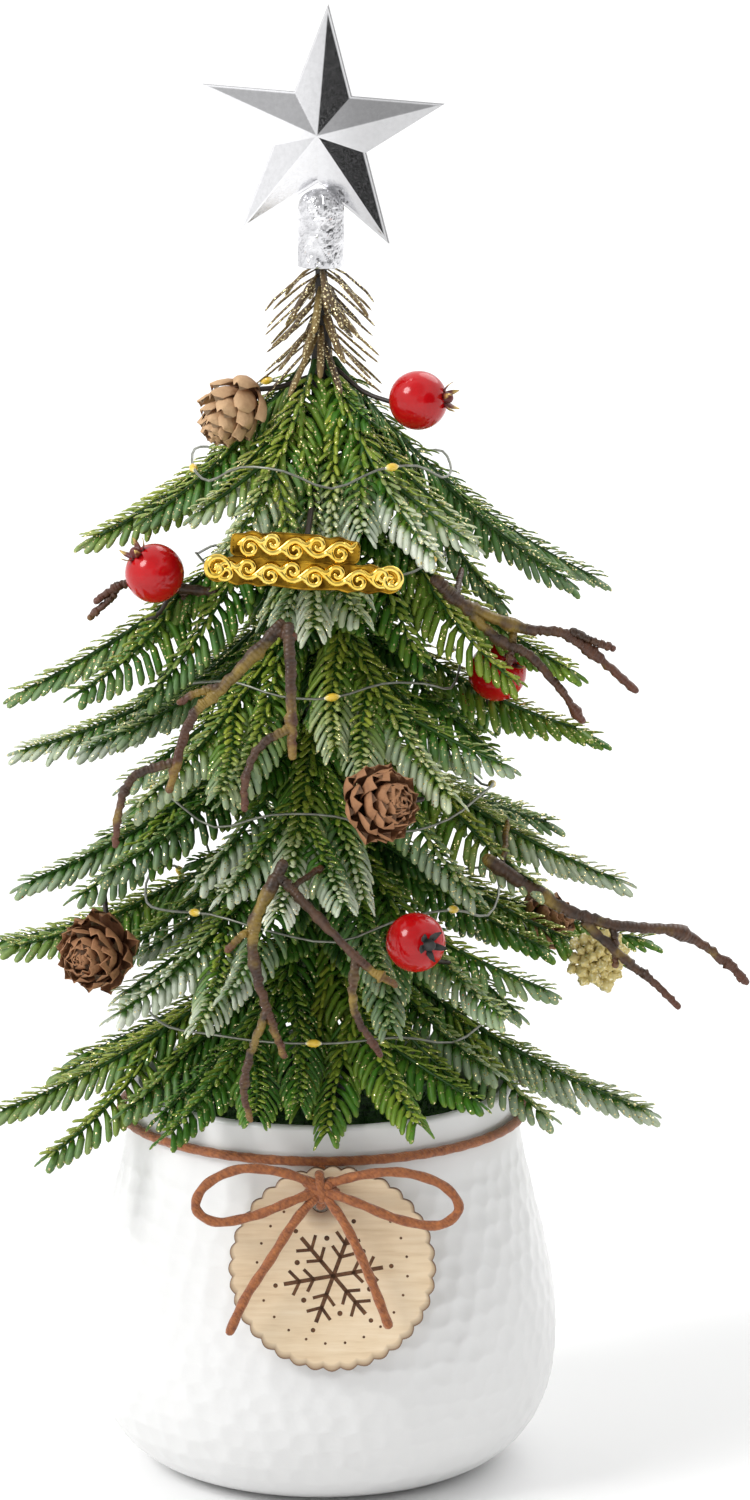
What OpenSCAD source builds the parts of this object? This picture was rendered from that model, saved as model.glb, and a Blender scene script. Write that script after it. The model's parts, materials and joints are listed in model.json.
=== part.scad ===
// Artificial tabletop tree in a ceramic pot.
// +Z is up and the origin is the centre of the pot's flat base. The front of the tree faces -Y.

/* [Pot] */
// Height of the pot
pot_h = 121; // [115:1:128]
// Radius of the flat base
pot_foot_r = 40; // [36:1:44]
// Radius at the widest part of the belly
pot_belly_r = 72; // [70:1:74]
// Height of the widest part of the belly
pot_belly_z = 42; // [36:1:48]
// Radius at the rim
pot_rim_r = 59.5; // [58:0.5:60]
// Wall thickness
pot_wall = 3.5; // [3:0.5:4]

/* [Trunk] */
// Radius of the trunk rod
trunk_r = 3; // [2.5:0.5:3]
// Height of the trunk's tip inside the topper sleeve
trunk_top_z = 388; // [386:1:388]

/* [Branches] */
// Mean half width of a branch's needle body
branch_half_w = 8; // [5:0.5:8]
// Half height of a branch's needle body
branch_half_h = 4; // [3:0.5:4]
// Radius of a branch's wire
branch_wire_r = 1; // [0.8:0.1:1.2]

/* [Topper] */
// Height of the star's centre
star_z = 411; // [410:1:412]
// Radius of the star's points
star_r = 38; // [36:1:39]
// Depth of each half of the star at its centre
star_depth = 6.5; // [5:0.5:8]
// Radius of the foil sleeve
sleeve_r = 7.1; // [6:0.1:7.5]

/* [Decorations] */
// Radius of a berry
berry_r = 9; // [8:0.5:9]
// Length of the greeting plaque
plaque_w = 59; // [54:1:60]
// Height of the greeting plaque
plaque_h = 18; // [16:1:18]
// Thickness of the greeting plaque
plaque_t = 2.6; // [2:0.2:3]

/* [Tag and cord] */
// Radius of the wooden tag at its scallops
tag_r = 31; // [28:0.5:31]
// Thickness of the wooden tag
tag_t = 2.5; // [2:0.5:2.5]
// Radius of the cord round the neck
cord_r = 1.5; // [1.2:0.1:1.5]

/* [Lights] */
// Radius of the lamp wire
wire_r = 0.4; // [0.3:0.1:0.4]
// Radius of a lamp bead
bead_r = 1.2; // [1:0.1:1.3]
// Number of lamp beads
bead_count = 24; // [16:1:26]

/* [Hidden] */
$fn = 48;
gap = 0.2;

// Each tier: root height, mean droop in degrees, azimuths, reaches
TIERS = [
    [344, 41, [168, 243, 302, 22], [66, 57, 57, 84]],
    [311, 37, [192, 268, 338, 95], [86, 51, 74, 78]],
    [276, 33, [158, 232, 298, 12, 85], [90, 82, 76, 79, 84]],
    [242, 30, [200, 262, 342, 50, 122], [88, 82, 88, 92, 92]],
    [208, 27, [166, 232, 304, 16, 90], [98, 90, 90, 98, 96]],
    [174, 30, [196, 240, 290, 345, 90], [96, 84, 78, 96, 92]]
];
LETTERS = "abcde";
droop_spread = 13;
branch_root_gap = 2;
blade_start = 14;
blade_sides = 8;
blade_rings = 7;

function tier_root(k) = TIERS[k][0];
// Angle below the horizontal at fraction t of a branch's length
function droop(k, t) = TIERS[k][1] + droop_spread * (1 - 2 * t);
// Ratio of length to horizontal reach
function branch_length(k, reach) =
    reach * 2 * droop_spread * PI / 180 / (sin(droop(k, 0)) - sin(droop(k, 1)));
// Horizontal and vertical offset from the root at fraction t
function spine_out(k, len, t) = len / (2 * droop_spread * PI / 180) * (sin(droop(k, 0)) - sin(droop(k, t)));
function spine_down(k, len, t) = len / (2 * droop_spread * PI / 180) * (cos(droop(k, t)) - cos(droop(k, 0)));

// Polyhedron through rings of points, closed by flat ends
module skin(rings) {
    n = len(rings[0]);
    last = len(rings) - 1;
    sides = [
        for (i = [0 : last - 1], j = [0 : n - 1])
            each [
                [i * n + j, (i + 1) * n + j, i * n + (j + 1) % n],
                [i * n + (j + 1) % n, (i + 1) * n + j, (i + 1) * n + (j + 1) % n]
            ]
    ];
    start_cap = [for (j = [1 : n - 2]) [0, j, j + 1]];
    end_cap = [for (j = [1 : n - 2]) [last * n, last * n + j + 1, last * n + j]];
    polyhedron(points = [for (ring = rings) each ring], faces = concat(sides, start_cap, end_cap));
}

function unit(v) = v / norm(v);
function tangent(path, i) = unit(path[min(i + 1, len(path) - 1)] - path[max(i - 1, 0)]);
// Ring of n points of radius r round point i of a path; ref is never along the path
function ring_at(path, i, r, n, ref) =
    let (t = tangent(path, i), u = unit(cross(t, ref)), v = cross(t, u))
    [for (j = [0 : n - 1]) path[i] + r * (cos(360 * j / n) * u + sin(360 * j / n) * v)];
module tube(path, r0, r1, n, ref) {
    last = len(path) - 1;
    skin([for (i = [0 : last]) ring_at(path, i, r0 + (r1 - r0) * i / last, n, ref)]);
}
// Smooth curve through hand-chosen points, with steps pieces between each pair
function spline_point(p, i, t) =
    let (a = p[max(i - 1, 0)], b = p[i], c = p[i + 1], d = p[min(i + 2, len(p) - 1)])
    0.5 * (2 * b + (c - a) * t + (2 * a - 5 * b + 4 * c - d) * t * t + (3 * b - a - 3 * c + d) * t * t * t);
function smooth_path(p, steps) = concat(
    [for (i = [0 : len(p) - 2], s = [0 : steps - 1]) spline_point(p, i, s / steps)],
    [p[len(p) - 1]]
);

// ---------- Pot ----------
function pot_r(z) = z < pot_belly_z
    ? pot_foot_r + (pot_belly_r - pot_foot_r) * sqrt(1 - pow(1 - z / pot_belly_z, 2.5))
    : pot_rim_r + (pot_belly_r - pot_rim_r) * (1 + cos(180 * (z - pot_belly_z) / (pot_h - pot_belly_z))) / 2;
pot_floor_z = 5;
pot_levels = [0, 1, 3, 6, 10, 15, 21, 28, 35, 42, 52, 62, 72, 82, 92, 102, 112, 120];
module pot() {
    outer = [for (z = pot_levels) [pot_r(z), z]];
    inner = [for (i = [len(pot_levels) - 1 : -1 : 0]) if (pot_levels[i] > pot_floor_z)
        [pot_r(pot_levels[i]) - pot_wall, pot_levels[i]]];
    color("whitesmoke") rotate_extrude() polygon(concat(
        [[0, 0]], outer,
        [[pot_rim_r - 0.6, pot_h], [pot_rim_r - pot_wall + 0.6, pot_h]],
        inner, [[pot_r(6) - pot_wall - 2, pot_floor_z], [0, pot_floor_z]]
    ));
}

foam_r = 53;
foam_top_z = 104;
trunk_foot_z = 22;
module foam_block() {
    color("darkseagreen") difference() {
        rotate_extrude() polygon([[0, pot_floor_z + gap], [44, pot_floor_z + gap], [foam_r, 24],
            [foam_r, foam_top_z], [0, foam_top_z]]);
        translate([0, 0, trunk_foot_z - gap]) cylinder(r = trunk_r + gap, h = foam_top_z);
    }
}

socket_r = 8;
moss_r = 55;
moss_rim_z = 111;
moss_top_z = 115;
box_w = 36;
box_d = 26;
box_y = 22;
box_z = 110;
box_top_z = 122;
box_h = box_top_z - box_z;
module moss_mat() {
    color("darkolivegreen") difference() {
        rotate_extrude() polygon([[socket_r + gap, foam_top_z + gap], [moss_r - 0.6, foam_top_z + gap],
            [moss_r, moss_rim_z], [moss_r - 8, moss_top_z - 1], [moss_r - 22, moss_top_z],
            [socket_r + gap, moss_top_z]]);
        translate([-box_w / 2 - gap, box_y - gap, box_z - gap]) cube([box_w + 2 * gap, box_d + 2 * gap, 20]);
    }
}

// ---------- Trunk ----------
trunk_shoulder_z = 348;
trunk_tip_z = 362;
trunk_tip_r = 1.75;
module trunk() {
    color("black") union() {
        translate([0, 0, trunk_foot_z]) cylinder(r = trunk_r, h = trunk_shoulder_z - trunk_foot_z);
        translate([0, 0, trunk_shoulder_z])
            cylinder(r1 = trunk_r, r2 = trunk_tip_r, h = trunk_tip_z - trunk_shoulder_z);
        translate([0, 0, trunk_tip_z]) cylinder(r = trunk_tip_r, h = trunk_top_z - trunk_tip_z);
    }
}
module trunk_socket() {
    bore_r = trunk_r + 0.06;
    color("dimgray") rotate_extrude() polygon([[bore_r, foam_top_z + gap], [socket_r, foam_top_z + gap],
        [socket_r, 116], [6.6, 119], [5, 121.5], [bore_r, 122.5]]);
}

// Needle skirt just under the topper: its underside, its ragged edge and its top, down to its bore
tuft_underside = [[trunk_r + 0.1, 350], [8, 352], [15, 341], [18.5, 338]];
tuft_outside = [[20, 343], [15, 355], [9, 365], [4, 369.5]];
tuft_bore = [[2, 369.5], [2, 363.5], [trunk_r + 0.1, 356]];
module top_tuft() {
    color("saddlebrown") rotate_extrude() polygon(concat(tuft_underside, tuft_outside, tuft_bore));
}

// ---------- Topper ----------
star_yaw = -10;
star_roll = 3.5;
star_inner_ratio = 0.382;
star_flange = 0.6;
function star_outline(r, y) = [for (i = [0 : 9]) let (q = i % 2 == 0 ? r : r * star_inner_ratio)
    [q * sin(36 * i), y, q * cos(36 * i)]];
// Faceted half star, closed at y = 0, with its peak at y = -depth
module half_star(r, depth, flange) {
    points = concat([[0, -depth, 0]], star_outline(r, -flange), star_outline(r, 0), [[0, 0, 0]]);
    faces = [for (i = [0 : 9]) each [
        [0, 1 + i, 1 + (i + 1) % 10],
        [1 + i, 11 + i, 1 + (i + 1) % 10],
        [1 + (i + 1) % 10, 11 + i, 11 + (i + 1) % 10],
        [21, 11 + (i + 1) % 10, 11 + i]
    ]];
    polyhedron(points = points, faces = faces);
}
module star_place() {
    translate([0, 0, star_z]) rotate([0, star_roll, star_yaw]) children();
}
module star_front() {
    color("silver") star_place() half_star(star_r, star_depth, star_flange);
}
module star_rear() {
    color("silver") star_place() translate([0, 0.02, 0]) rotate([0, 0, 180]) mirror([1, 0, 0])
        half_star(star_r, star_depth, star_flange);
}
sleeve_low_z = 371;
sleeve_high_z = 394.5;
sleeve_bore_r = trunk_tip_r + 0.1;
sleeve_bore_top_z = trunk_top_z + 1.5;
// The sleeve's domed top, and the thin stub on it that holds the star
sleeve_dome = [[sleeve_r, 388], [sleeve_r - 1.2, 391.5], [sleeve_r - 3.6, sleeve_high_z]];
stub_r = 1.6;
stub_top_z = star_z - 8;
module topper_sleeve() {
    color("lightgray") rotate_extrude() polygon(concat(
        [[sleeve_bore_r, sleeve_low_z], [sleeve_r, sleeve_low_z]],
        sleeve_dome,
        [[stub_r, sleeve_high_z + 0.4], [stub_r, stub_top_z], [0, stub_top_z]],
        [[0, sleeve_bore_top_z], [sleeve_bore_r, sleeve_bore_top_z]]
    ));
}

// ---------- Branches ----------
// Half width of a needle body along its length: narrow at the root, full at two thirds, blunt at the tip
function blade_width(t) = branch_half_w * (0.2 + 1.1 * sin(150 * t) * (1 - 0.2 * t));
module branch(k, i) {
    azimuth = TIERS[k][2][i];
    reach = TIERS[k][3][i];
    len = branch_length(k, reach);
    first = blade_start / len;
    rings = [for (s = [0 : blade_rings - 1])
        let (t = first + (1 - first) * s / (blade_rings - 1),
            x = trunk_r + spine_out(k, len, t),
            z = tier_root(k) - spine_down(k, len, t),
            w = s == blade_rings - 1 ? blade_width(t) * 0.45 : blade_width(t),
            h = branch_half_h * (s == 0 ? 0.5 : s == blade_rings - 1 ? 0.6 : 1),
            tilt = droop(k, t))
        [for (j = [0 : blade_sides - 1]) let (a = 360 * j / blade_sides)
            [x + h * sin(a) * sin(tilt), w * cos(a), z + h * sin(a) * cos(tilt)]]];
    color("forestgreen") rotate([0, 0, azimuth]) union() {
        skin(rings);
        translate([trunk_r, 0, tier_root(k)]) rotate([0, 90 + droop(k, 0), 0])
            translate([0, 0, branch_root_gap]) cylinder(r = branch_wire_r, h = blade_start - 1, $fn = 24);
    }
}

// ---------- Berries and cones ----------
// Thin straight stem between two points
module stem(from, to, r) {
    v = to - from;
    turn = atan2(v[1], v[0]);
    lean = acos(v[2] / norm(v));
    translate(from) rotate([0, lean, turn]) cylinder(r = r, h = norm(v), $fn = 24);
}
berry_wire_r = 0.7;
crown_r = 4.6;
crown_notch_r = 2;
crown_sink = 1.6;
crown_h = 3.4;
// Berry at a place, with its crown pointing along crown_turn and crown_lean
module berry(place, crown_turn, crown_lean, stem_from) {
    crown = [for (i = [0 : 9])
        let (q = i % 2 == 0 ? crown_r : crown_notch_r) [q * cos(36 * i), q * sin(36 * i)]];
    union() {
        color("firebrick") translate(place) sphere(r = berry_r);
        color("firebrick") translate(place) rotate([0, crown_lean, crown_turn])
            translate([0, 0, berry_r - crown_sink]) linear_extrude(height = crown_h) polygon(crown);
        color("darkslategray") stem(stem_from, place, berry_wire_r);
    }
}
cone_wire_r = 0.8;
// Outline of a cone as shares of its radius and height: a fat body tapering to its tip along +Z
cone_outline = [[0, -0.5], [0.45, -0.46], [0.95, -0.22], [1, -0.05], [0.86, 0.12], [0.62, 0.3], [0.3, 0.45],
    [0, 0.5]];
module cone(place, turn, lean, r, h, stem_from) {
    union() {
        color("sienna") translate(place) rotate([0, lean, turn])
            rotate_extrude() polygon([for (p = cone_outline) [p[0] * r, p[1] * h]]);
        color("saddlebrown") stem(stem_from, place, cone_wire_r);
    }
}

berry_1_at = [29, -15, 333];
berry_2_at = [-49.5, -25, 282.5];
berry_3_at = [28, -72, 181];
berry_4_at = [53, -4, 248];
cone_1_at = [-26.5, -12.5, 330.5];
cone_2_at = [17.5, -74, 223.5];
cone_3_at = [-67, -43, 170];
cone_4_at = [69, 18, 165];
flower_at = [84, -20, 163];
flower_stem_from = [84, -26, 176];
flower_petals = 6;
flower_ring_r = 5;
flower_petal_r = 3.4;
flower_heart_r = 3.2;

module berry_1() { berry(berry_1_at, -20, 80, [4, -2.5, 341]); }
module berry_2() { berry(berry_2_at, 150, 50, [-52, -13, 266]); }
module berry_3() { berry(berry_3_at, -75, 80, [38, -57, 171]); }
module berry_4() { berry(berry_4_at, -60, 60, [53, 9, 232]); }
module cone_1() { cone(cone_1_at, 205, 75, 9.5, 22, [-4, -2.5, 338]); }
module cone_2() { cone(cone_2_at, -45, 80, 12.5, 24, [30, -62, 222]); }
module cone_3() { cone(cone_3_at, -120, 100, 12.5, 22, [-66, -26, 190]); }
module cone_4() { cone(cone_4_at, 10, 70, 10, 22, [66, 19, 156]); }
module gold_flower() {
    color("gold") union() {
        translate(flower_at) sphere(r = flower_heart_r);
        for (i = [0 : flower_petals - 1])
            translate(flower_at) rotate([0, 90, 0]) rotate([0, 0, 360 * i / flower_petals])
                translate([flower_ring_r, 0, 0]) sphere(r = flower_petal_r);
        stem(flower_stem_from, flower_at, berry_wire_r);
    }
}

// ---------- Greeting plaque on its pick ----------
plaque_at = [-4.5, -63, 293];
plaque_roll = -4;
plaque_end_r = plaque_h * 0.36;
plaque_lobes = [-plaque_w * 0.13, plaque_w * 0.16];
pick_from = [-0.5, -3.6, 322];
pick_to = plaque_at + [0, 1, 3];
pick_r = 0.9;
module plaque_face() {
    square([plaque_w - 2 * plaque_end_r, plaque_h * 0.8], center = true);
    for (side = [-1, 1])
        translate([side * (plaque_w / 2 - plaque_end_r), 0]) circle(r = plaque_end_r);
    for (x = plaque_lobes)
        translate([x, 0]) circle(r = plaque_h / 2);
}
module gold_plaque() {
    color("gold") union() {
        translate(plaque_at) rotate([90, plaque_roll, 0])
            linear_extrude(height = plaque_t, center = true) plaque_face();
        stem(pick_from, pick_to, pick_r);
    }
}

// ---------- Twigs ----------
twig_sides = 6;
module twig_limb(points, r0, r1) {
    tube(smooth_path(points, 2), r0, r1, twig_sides, [0.1, 1, 0.3]);
}
module twig_upper_right() {
    color("peru") union() {
        twig_limb([[34, -38, 283], [42, -36, 275.5], [59, -34, 268],
            [71, -32, 266], [80, -30, 260], [94, -28, 247.5]], 1.9, 1.2);
        twig_limb([[43, -36, 274], [53, -36, 264.5], [62, -34, 259.5],
            [71, -32, 249], [78, -31, 239]], 1.6, 1.1);
        stem([40, -36.5, 277.5], [42, -17, 282], 0.9);
    }
}
module twig_lower_right() {
    color("peru") union() {
        twig_limb([[50, -38, 198], [71.5, -42, 184.5], [88.5, -40, 178], [107.5, -36, 175], [121.5, -32, 165],
            [128, -30, 158]], 2, 1.1);
        twig_limb([[79, -42, 179.5], [92.5, -42, 166.5], [98.5, -41, 162], [107, -40, 153]], 1.5, 1);
        stem([54, -39, 195.5], [56, -19, 205], 0.9);
    }
}
module twigs_front() {
    color("sienna") union() {
        twig_limb([[-11.5, -70, 276], [-27.5, -74, 259], [-38, -76, 248.5], [-44, -78, 228.5]], 1.9, 1.2);
        twig_limb([[-43, -77, 236.5], [-54, -77, 232.5], [-58.5, -77, 223.5], [-60, -77, 211.5]], 1.4, 1);
        twig_limb([[-9, -72, 275.5], [-8.5, -76, 258], [-8, -78, 238.5]], 1.9, 1.3);
        twig_limb([[-9, -77, 246.5], [-17, -78, 242], [-21.5, -79, 233], [-22, -79, 223]], 1.4, 1);
        stem([-13, -70.5, 274.5], [-8, -72.5, 273], 1.6);
        stem([-42.5, -77.3, 233], [-43, -58, 230], 0.9);
    }
}
module twigs_low() {
    color("sienna") union() {
        twig_limb([[-11, -80, 206.5], [-19, -84, 189.5], [-18.5, -86, 174.5],
            [-14.5, -87, 161.5], [-10.5, -87, 150.5]], 1.8, 1.1);
        twig_limb([[-15.5, -87, 164], [-20.5, -87, 150.5], [-22.5, -87, 140], [-20.5, -87, 131]], 1.3, 1);
        twig_limb([[-12, -81, 203], [-6, -82.5, 197], [11.5, -87, 179.5], [22, -88, 172]], 1.6, 1);
        twig_limb([[10.5, -86.5, 181], [9.5, -88, 167.5], [13, -88, 158.5], [17.5, -88, 151]], 1.3, 1);
        stem([-9, -82, 199.5], [0, -66, 202], 0.9);
    }
}

// ---------- Cord and tag ----------
neck_z = 111;
module neck_cord() {
    color("sandybrown") translate([0, 0, neck_z]) rotate_extrude()
        translate([pot_r(neck_z) + cord_r + 0.35, 0]) circle(r = cord_r, $fn = 24);
}
knot_at = [0, -73.5, 106.5];
knot_r = 3.9;
// Strand that goes from the neck cord through the tag's hole to the knot
strand = [[0, -62.2, 109], [0, -63.2, 104.5], [0, -64.6, 101.2], [0, -68, 99.6], [0, -72, 100.6],
    [0, -73.5, 104]];
// Loops and tails leave the knot sideways; each route is also the length of the real cord
loop_left = [[-1.6, -74, 107.6], [-12, -76.5, 112], [-24, -77, 113], [-34, -76.5, 108], [-37, -77, 101],
    [-31, -78, 97], [-20, -78.5, 99], [-10, -78.5, 103], [-1.4, -75, 105.6]];
loop_right = [[1.7, -74.1, 107.5], [12, -76.5, 111], [24, -77, 112], [36, -76.5, 108], [41, -77, 101],
    [35, -78, 96], [23, -78.5, 98], [11, -78.5, 103], [1.5, -75.1, 105.5]];
tail_left = [[-0.8, -74.8, 104.8], [-8, -79, 97], [-15, -80.5, 86], [-22, -80.5, 75], [-27, -80.5, 64]];
tail_right = [[0.9, -74.9, 104.7], [7, -79, 97], [12, -80.5, 87], [16, -80.5, 77], [20, -80.5, 66]];
bow_steps = 2;
bow_sides = 8;
module bow() {
    color("sandybrown") union() {
        translate(knot_at) sphere(r = knot_r);
        tube(smooth_path(strand, bow_steps), cord_r, cord_r, bow_sides, [1, 0, 0]);
        for (route = [loop_left, loop_right, tail_left, tail_right])
            tube(smooth_path(route, bow_steps), cord_r, cord_r, bow_sides, [0.05, 1, 0.05]);
    }
}
tag_hole_r = 2.75;
tag_hole_up = 20;
tag_scallops = 36;
tag_scallop_depth = 1.1;
tag_lean = 7;
tag_roll = 9.7;
tag_hole_at = [0, -68.4, 100];
module tag_outline() {
    count = tag_scallops * 4;
    polygon([for (i = [0 : count - 1])
        let (a = 360 * i / count, r = tag_r - tag_scallop_depth * (1 - abs(cos(a * tag_scallops / 2))))
        [r * sin(a), r * cos(a)]]);
}
module wooden_tag() {
    color("burlywood") translate(tag_hole_at)
        rotate([-tag_lean, 0, 0]) rotate([0, -tag_roll, 0]) rotate([90, 0, 0])
        linear_extrude(height = tag_t, center = true) difference() {
            translate([0, -tag_hole_up]) tag_outline();
            circle(r = tag_hole_r);
        }
}

// ---------- LED string ----------
// The wire lies on the branches of each tier in turn, sags between them and climbs at the rear left
wire_tier_r = [39, 38, 42, 52, 54, 54];
wire_points_per_lap = 20;
climb_points = 4;
climb_from = 126;
climb_to = 148;
wire_gap = 0.6;
wire_sag = 6;
// The wire stays level for this angle on each side of a branch, and sags fully after sag_angle more
level_angle = 14;
sag_angle = 16;
// Droop angle of a branch at a radius
function droop_at(k, reach, r) =
    asin(sin(droop(k, 0)) - (r - trunk_r) / branch_length(k, reach) * (2 * droop_spread * PI / 180));
// Height at which the wire lies on a branch of tier k
function rest_on(k, reach, r) =
    let (len = branch_length(k, reach), a = droop_at(k, reach, r))
    tier_root(k) - len / (2 * droop_spread * PI / 180) * (cos(a) - cos(droop(k, 0)))
        + (branch_half_h + bead_r + wire_gap) / cos(a);
function angle_between(a, b) = abs((a - b + 540) % 360 - 180);
function sag(a, b) = wire_sag * max(0, min(1, (angle_between(a, b) - level_angle) / sag_angle));
function wire_z(k, a) =
    max([for (i = [0 : len(TIERS[k][2]) - 1])
        rest_on(k, TIERS[k][3][i], wire_tier_r[k]) - sag(a, TIERS[k][2][i])]);
function lap_at(a, k) =
    let (s = max(0, min(1, (a - 360 - climb_from) / (climb_to - climb_from))),
        e = s * s * (3 - 2 * s),
        up = max(k - 1, 0),
        r = wire_tier_r[k] * (1 - e) + wire_tier_r[up] * e,
        z = wire_z(k, a) * (1 - e) + wire_z(up, a) * e)
    [r * cos(a), r * sin(a), z];
// One lap per tier from the lowest up; a lap starts at the end of the climb window
level_points = wire_points_per_lap - climb_points;
lap_angles = [for (i = [0 : wire_points_per_lap - 1]) i < level_points
    ? climb_to + i * (360 - (climb_to - climb_from)) / level_points
    : climb_from + 360 + (i - level_points) * (climb_to - climb_from) / climb_points];
wire_lead_in = [[-19, 35, 118], [-25, 34.5, 121.5], [-33, 33, 128], [-40.5, 31, 135]];
wire_end = [[-20, 9, 333], [-7, 3, 336]];
led_route = concat(
    wire_lead_in,
    [for (k = [5 : -1 : 0], a = lap_angles) if (!(k == 0 && a > 360 + climb_from)) lap_at(a, k)],
    wire_end
);
module led_wire() {
    color("silver") tube(led_route, wire_r, wire_r, 6, [0.02, 0.01, 1]);
}
module led_beads() {
    pitch = (len(led_route) - 1 - len(wire_lead_in)) / bead_count;
    color("lightyellow") for (i = [0 : bead_count - 1]) {
        s = len(wire_lead_in) + 0.5 + i * pitch;
        from = led_route[floor(s)];
        to = led_route[min(floor(s) + 1, len(led_route) - 1)];
        translate(from + (to - from) * (s - floor(s))) sphere(r = bead_r, $fn = 24);
    }
}

// ---------- Battery box ----------
box_wall = 1.6;
slot_w = 3.2;
slot_d = 8.4;
slot_floor_z = box_top_z - 4;
cell_r = 10;
cell_t = 3.2;
well_w = 22;
well_x = 3;
cover_x = -9;
cover_w = 26;
cover_t = 1.5;
ridge_w = 0.8;
ridge_h = 0.7;
ridge_x = 18;
ridge_inset = 7;
switch_x = -13;
switch_y = box_y + box_d / 2;
module battery_box() {
    color("darkgreen") difference() {
        translate([-box_w / 2, box_y, box_z]) cube([box_w, box_d, box_h]);
        translate([well_x - well_w / 2, box_y + (box_d - well_w) / 2, box_z + box_wall])
            cube([well_w, well_w, box_top_z]);
        translate([switch_x - slot_w / 2, switch_y - slot_d / 2, slot_floor_z]) cube([slot_w, slot_d, box_h]);
    }
}
module battery_cover() {
    color("darkgreen") union() {
        translate([cover_x, box_y + 0.5, box_top_z + 0.1]) cube([cover_w, box_d - 1, cover_t]);
        for (i = [0 : 2])
            translate([cover_x + ridge_x + 2 * i, box_y + ridge_inset, box_top_z + cover_t])
                cube([ridge_w, box_d - 2 * ridge_inset, ridge_h]);
    }
}
module coin_cells() {
    color("silver") for (i = [0 : 1])
        translate([well_x, switch_y, box_z + box_wall + 0.1 + i * (cell_t + 0.05)])
            cylinder(r = cell_r, h = cell_t);
}
knob_base = [2.8, 2.8, 3.6];
knob_grip = [2, 2, 1.8];
module switch_knob() {
    color("black") translate([switch_x, switch_y - 1.5, slot_floor_z + gap]) union() {
        translate([-knob_base[0] / 2, -knob_base[1] / 2, 0]) cube(knob_base);
        translate([-knob_grip[0] / 2, -knob_grip[1] / 2, knob_base[2]]) cube(knob_grip);
    }
}

for (k = [0 : len(TIERS) - 1], i = [0 : len(TIERS[k][2]) - 1])
    branch(k, i);
pot();
foam_block();
moss_mat();
trunk();
trunk_socket();
top_tuft();
star_front();
star_rear();
topper_sleeve();
berry_1();
berry_2();
berry_3();
berry_4();
cone_1();
cone_2();
cone_3();
cone_4();
gold_flower();
gold_plaque();
twig_upper_right();
twig_lower_right();
twigs_front();
twigs_low();
neck_cord();
bow();
wooden_tag();
led_wire();
led_beads();
battery_box();
battery_cover();
coin_cells();
switch_knob();
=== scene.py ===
"""The looks of an artificial tabletop tree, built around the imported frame.

Everything is in metres in the frame's own axes: +Z up, the front faces -Y.
"""
import json
import math
import bpy
import bmesh
import numpy as np
from mathutils import Matrix, Vector


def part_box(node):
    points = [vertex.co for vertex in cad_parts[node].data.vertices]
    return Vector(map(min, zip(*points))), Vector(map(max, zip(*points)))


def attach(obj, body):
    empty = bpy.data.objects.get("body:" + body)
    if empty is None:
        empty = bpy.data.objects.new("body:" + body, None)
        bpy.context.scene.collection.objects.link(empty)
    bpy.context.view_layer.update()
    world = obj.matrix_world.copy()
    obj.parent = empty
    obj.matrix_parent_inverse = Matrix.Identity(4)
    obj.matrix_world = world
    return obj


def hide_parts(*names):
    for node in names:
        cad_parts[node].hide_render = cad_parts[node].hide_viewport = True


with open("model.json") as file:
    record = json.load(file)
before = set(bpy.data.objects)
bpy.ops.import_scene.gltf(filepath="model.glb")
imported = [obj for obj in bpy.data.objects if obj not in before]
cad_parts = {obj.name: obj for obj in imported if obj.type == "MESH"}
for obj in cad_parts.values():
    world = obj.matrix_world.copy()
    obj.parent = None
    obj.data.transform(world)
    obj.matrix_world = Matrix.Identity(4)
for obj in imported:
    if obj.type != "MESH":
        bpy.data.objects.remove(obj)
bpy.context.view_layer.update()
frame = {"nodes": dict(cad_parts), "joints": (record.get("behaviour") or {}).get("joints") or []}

MM = 0.001
UP = np.array([0.0, 0.0, 1.0])
SEED = 41
GOLDEN_ANGLE = 2.39996


# ---------------------------------------------------------------- helpers
def unit(v):
    v = np.asarray(v, float)
    return v / np.linalg.norm(v)


def link(obj):
    bpy.context.scene.collection.objects.link(obj)
    return obj


def mesh_object(name, points, faces, materials, smooth=True):
    """An object from points and faces, with its materials."""
    mesh = bpy.data.meshes.new(name)
    mesh.from_pydata([tuple(p) for p in np.asarray(points, float)], [], [tuple(map(int, f)) for f in faces])
    mesh.validate()
    mesh.update()
    for material in materials:
        mesh.materials.append(material)
    if smooth:
        mesh.polygons.foreach_set("use_smooth", [True] * len(mesh.polygons))
    return link(bpy.data.objects.new(name, mesh))


def attribute(obj, name, values):
    """A number at each point of a mesh, for its material."""
    layer = obj.data.attributes.new(name, "FLOAT", "POINT")
    layer.data.foreach_set("value", np.asarray(values, np.float32))


def flip_if_inside_out(obj):
    """Turns a closed mesh's faces outwards."""
    bm = bmesh.new()
    bm.from_mesh(obj.data)
    bmesh.ops.recalc_face_normals(bm, faces=bm.faces)
    bm.to_mesh(obj.data)
    bm.free()
    return obj


def apply_modifiers(obj):
    """Keeps what the modifiers make as the object's own mesh."""
    bpy.context.view_layer.update()
    made = bpy.data.meshes.new_from_object(obj.evaluated_get(bpy.context.evaluated_depsgraph_get()))
    obj.modifiers.clear()
    obj.data = made
    return obj


def bevel(obj, width, segments=2, angle=30):
    edge = obj.modifiers.new("edges", "BEVEL")
    edge.width, edge.segments = width, segments
    edge.limit_method, edge.angle_limit = "ANGLE", math.radians(angle)
    edge.harden_normals = False
    return apply_modifiers(obj)


def piece(obj, body, slot, *nodes):
    """Says what a piece rides on and the CAD nodes that it stands for. slot is not used."""
    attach(obj, body)
    if nodes:
        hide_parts(*nodes)
    return obj


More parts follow.
